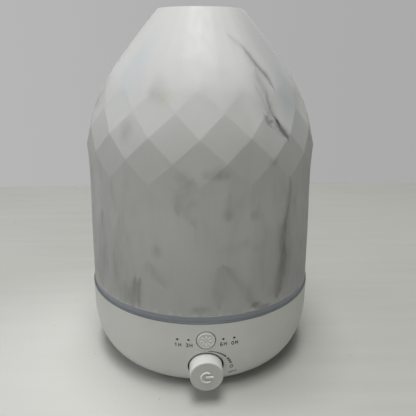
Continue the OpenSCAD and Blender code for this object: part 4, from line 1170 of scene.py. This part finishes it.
# Each vein: its darkness, and its points as angle, height and half width. The veins that start
# at the cone come first, and then those of the wall from right to left.
vein_swell = 1.4
veins = (
    (0.16, ((20.5, 250.5, 1.5), (22.1, 248.6, 3.0), (26.6, 244.7, 4.0), (30.2, 239.7, 4.4),
            (34.0, 232.3, 4.0), (37.0, 226.8, 3.2), (38.6, 219.0, 1.0))),
    (0.40, ((28.5, 242.5, 0.4), (30.8, 238.7, 1.6), (34.0, 232.3, 2.6), (37.0, 226.8, 2.6),
            (38.4, 222.1, 1.8), (38.9, 216.5, 0.3))),
    (0.22, ((31.5, 229.5, 0.8), (31.2, 224.0, 3.4), (32.3, 219.4, 3.4), (32.6, 213.2, 2.4),
            (32.7, 207.9, 2.4), (33.7, 202.4, 2.6), (35.4, 197.6, 1.2))),
    (0.36, ((32.6, 213.0, 0.4), (32.8, 207.9, 1.6), (33.7, 202.4, 2.0), (35.4, 197.6, 1.6),
            (36.0, 196.0, 0.5))),
    (0.16, ((27.5, 219.0, 0.6), (27.9, 216.6, 1.8), (29.2, 211.2, 2.0), (30.2, 205.8, 1.8),
            (31.0, 201.0, 0.5))),
    (0.80, ((34.4, 199.2, 0.4), (35.7, 196.6, 1.8), (36.9, 193.5, 2.8), (38.4, 189.3, 3.0),
            (39.6, 186.5, 2.0), (40.4, 184.5, 0.4))),
    (0.44, ((29.0, 201.8, 0.4), (29.6, 199.7, 1.6), (30.0, 196.3, 1.8), (31.2, 194.6, 0.6))),
    (0.24, ((42.4, 158.0, 0.6), (42.6, 150.0, 2.2), (42.6, 144.0, 3.4), (42.0, 136.0, 5.0),
            (40.8, 124.3, 6.5), (39.8, 112.0, 7.0), (39.8, 100.0, 8.0), (39.5, 88.0, 8.5),
            (38.0, 78.0, 7.0), (36.5, 70.0, 2.0))),
    (0.38, ((42.3, 138.0, 0.4), (41.7, 131.0, 1.4), (40.5, 124.3, 3.2), (39.3, 112.2, 4.0),
            (39.6, 103.2, 4.6), (39.5, 92.8, 5.0), (38.1, 84.3, 5.6), (36.2, 75.0, 5.0),
            (35.6, 70.0, 1.0))),
    (0.10, ((24.0, 143.0, 1.0), (24.7, 136.5, 4.0), (27.7, 120.3, 6.0), (27.4, 108.1, 5.5),
            (27.4, 90.4, 5.0), (27.0, 80.0, 1.0))),
    (0.20, ((9.0, 103.0, 1.0), (10.6, 99.0, 3.0), (13.5, 92.5, 4.0), (16.3, 86.4, 4.8),
            (19.0, 80.0, 5.0), (21.5, 73.8, 4.5), (24.0, 68.0, 2.0))),
    (0.15, ((8.0, 104.0, 1.0), (7.6, 100.7, 4.0), (6.6, 94.6, 5.5), (5.5, 86.0, 5.5),
            (6.3, 78.0, 4.5), (6.0, 72.0, 1.5))),
    (0.14, ((9.9, 153.0, 1.0), (9.7, 147.0, 3.0), (9.2, 142.0, 3.5), (8.9, 136.0, 1.5))),
    (0.18, ((-5.6, 163.0, 1.5), (-6.6, 159.0, 6.0), (-7.8, 155.5, 8.0), (-10.3, 150.9, 6.5),
            (-11.9, 144.6, 3.5), (-12.2, 140.0, 0.8))),
    (0.14, ((-5.5, 151.0, 1.0), (-5.9, 148.0, 3.0), (-7.9, 142.6, 5.0), (-8.2, 138.7, 5.0),
            (-6.4, 135.8, 4.0), (-5.0, 132.0, 1.0))),
    (0.16, ((-26.5, 103.0, 1.0), (-25.6, 99.9, 4.5), (-23.3, 95.5, 6.0), (-20.9, 91.7, 5.0),
            (-19.0, 87.0, 1.0))),
    (0.36, ((-31.0, 90.0, 0.4), (-31.2, 85.0, 1.8), (-31.4, 78.0, 2.2), (-31.6, 71.4, 1.8),
            (-31.6, 67.0, 0.4))),
    (0.28, ((-33.7, 90.0, 0.5), (-34.0, 84.8, 3.0), (-34.8, 76.6, 3.4), (-35.2, 68.4, 2.8),
            (-35.3, 64.0, 1.0))),
    (0.10, ((-43.0, 130.0, 1.0), (-44.2, 116.2, 5.0), (-45.0, 100.0, 6.0), (-45.5, 83.3, 6.0),
            (-46.0, 72.0, 1.0))),
    (0.20, ((-56.0, 130.0, 2.0), (-57.2, 116.7, 8.0), (-58.5, 96.2, 10.0), (-60.1, 78.7, 9.0),
            (-61.0, 68.0, 3.0))),
)

# Each soft cloud: its darkness, its angle and height, and its half sizes round and up
clouds = (
    (0.16, 6.3, 168.4, 9, 7), (0.20, 6.4, 165.0, 9, 5), (0.14, 0.5, 166.0, 6, 5),
    (0.14, -9.0, 164.0, 8, 8), (0.18, -38.0, 190.0, 8, 12), (0.14, -25.0, 217.5, 12, 12),
    (0.20, 30.7, 171.8, 6, 5), (0.17, 8.9, 138.2, 7, 7.5), (0.18, -23.0, 112.2, 6, 6.5),
    (0.18, 22.1, 136.6, 5.5, 6), (0.50, 31.8, 197.2, 3.5, 1.8), (0.08, 11.0, 115.0, 13, 6),
    (0.12, 17.4, 118.2, 7, 5), (0.10, 24.0, 114.5, 9, 6), (0.40, 24.4, 69.4, 7, 3.2),
    (0.46, 28.8, 66.4, 7.5, 3.2), (0.24, -3.0, 70.5, 10, 5), (0.22, -40.0, 75.0, 9, 12),
    (0.08, -2.0, 128.0, 16, 26), (0.04, 44.0, 120.0, 10, 50),
)

# Each stain of the shoulder and the wall: its colour, its strength, and the same as for a cloud.
# # Some are not stains: the pale one on the left of the wall is painted light, the grey ones right
# # of the front and on the right of the cone are painted shade, and the teal one on the right is
# # partly a tint and partly painted shade.
stains_and_painted_shading = (
    ((0.565, 0.592, 0.605), 0.70, -45, 228, 24, 34), ((0.50, 0.50, 0.51), 0.80, 52, 240, 44, 46),
    ((0.60, 0.615, 0.62), 0.22, -60, 120, 26, 80), ((0.35, 0.355, 0.34), 0.26, 20, 168, 40, 46),
    ((0.35, 0.355, 0.34), 0.28, 31, 214, 15, 36), ((0.45, 0.485, 0.487), 0.75, 50, 208, 24, 32),
    ((0.55, 0.56, 0.47), 0.55, -20, 211, 9, 7),
)


def cloud_mask(tree, plan, at_angle, at_height, round_size, up_size):
    """Soft oval mask on the unrolled cover: 1 in its middle, and 0 from its half sizes out."""
    centre = ((at_angle / 360 + 0.5) * cover_girth, at_height * MM - cover_plan_foot, 0)
    offset = add(tree, "VectorMath", {0: plan, 1: centre}, operation="SUBTRACT").outputs[0]
    scaled = stretched(tree, offset, (1 / (round_size * MM), 1 / (up_size * MM), 0))
    away = add(tree, "VectorMath", {0: scaled}, operation="LENGTH").outputs["Value"]
    return spread(tree, away, 0.1, 1.0, 1.0, 0.0)


def vein_mask(tree, angle, height, points):
    """Mask along one vein. Its half widths are stored enlarged, because a curve keeps only
    values from 0 to 1, and they run out to nothing at both ends."""
    enlarged, run_out = 80, 0.01
    points = sorted(((level * MM - cover_plan_foot) / cover_span, turn / 360 + 0.5,
                     vein_swell * half * MM) for turn, level, half in points)
    line = curve_lookup(tree, height, [(level, turn) for level, turn, half in points])
    widths = [(level, half * enlarged) for level, turn, half in points]
    widths = [(widths[0][0] - run_out, 0.0), *widths, (widths[-1][0] + run_out, 0.0)]
    half_width = product(tree, curve_lookup(tree, height, widths, "VECTOR"),
                         1 / enlarged / cover_girth)
    return add(tree, "Group", {"Angle": angle, "Line": line, "Half Width": half_width},
               node_tree=vein_shape).outputs[0]


def cover_marble():
    """Base tone with stains, painted light and painted shade, and streaks, then the clouds and
    veins as a thinning of the light.
    """
    material, tree, shader = new_material("cover_marble")
    place = own_place(tree)
    tall = stretched(tree, place, (1.0, 1.0, 0.42))
    plan = add(tree, "Group", {"Waver": 1.0}, node_tree=cover_plan).outputs
    angle, height, streak = plan["Angle"], plan["Height"], plan["Streak"]
    from_front = gap_between(tree, angle, 0.5)

    # The colour is whiter on the cone than on the wall, darker towards the foot of the wall, and
    # smoky all over
    upper = spread(tree, height, 0.40, 0.85)
    wall_tone = blend_colours(tree, spread(tree, height, 0.0, 0.45), (0.40, 0.40, 0.386),
                              (0.48, 0.48, 0.462))
    colour = blend_colours(tree, upper, wall_tone, (0.66, 0.66, 0.655))
    smoke = spread(tree, noise(tree, tall, 19.0, 5.0, 0.55, 0.8), 0.42, 0.75)
    smoke = product(tree, smoke, spread(tree, upper, 0.0, 1.0, 0.30, 0.10))
    colour = blend_colours(tree, smoke, colour, (0.33, 0.335, 0.32))
    # Stains, with the painted light on the left and the painted shade on the right among them
    for stain, strength, *shape in stains_and_painted_shading:
        mask = product(tree, cloud_mask(tree, plan["Plan"], *shape), strength)
        colour = blend_colours(tree, mask, colour, stain)

    # Each cloud and vein leaves a share of the light
    masks = [(darkness, cloud_mask(tree, plan["Plan"], *shape)) for darkness, *shape in clouds]
    masks += [(darkness, vein_mask(tree, angle, height, points)) for darkness, points in veins]
    light = 1.0
    for darkness, mask in masks:
        light = product(tree, light, reckon(tree, "MULTIPLY_ADD", mask, -darkness, 1.0))
    dark = product(tree, reckon(tree, "SUBTRACT", 1.0, light),
                   spread(tree, streak, 0.25, 0.70, 0.75, 1.12))

    # The wall is streaked upwards, faintly in front and more at the sides
    streaks = product(tree, spread(tree, streak, 0.42, 0.80),
                      spread(tree, from_front, 0.06, 0.15, 0.04, 0.16),
                      spread(tree, height, 0.42, 0.62, 1.0, 0.15))
    dark = reckon(tree, "ADD", dark, streaks)
    colour = blend_colours(tree, dark, colour, (0.060, 0.055, 0.052))

    # Veins of the back and the sides, where no single one stands out
    ridge = noise(tree, tall, 13.0, 6.0, 0.6, 1.1)
    thin = product(tree, spread(tree, gap_between(tree, ridge, 0.5), 0.0, 0.030, 1.0, 0.0),
                   spread(tree, noise(tree, place, 9.0, 2.0), 0.48, 0.66),
                   spread(tree, from_front, 0.17, 0.24), 0.45)
    colour = blend_colours(tree, thin, colour, (0.075, 0.07, 0.065))

    grain = add(tree, "Group", {"Grain Scale": 600.0}, node_tree=moulded_grain).outputs
    dress(tree, shader, colour, spread(tree, grain["Sheen"], 0.0, 1.0, 0.46, 0.56),
          grain["Height"], 0.02)
    join(tree, shader, {"Specular IOR Level": 0.35})
    return material


cover_piece = link_mesh("cover_shell", cover_shell(), cover_marble(), sharp_angle=40)
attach(cover_piece, "cover")
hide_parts("cover")
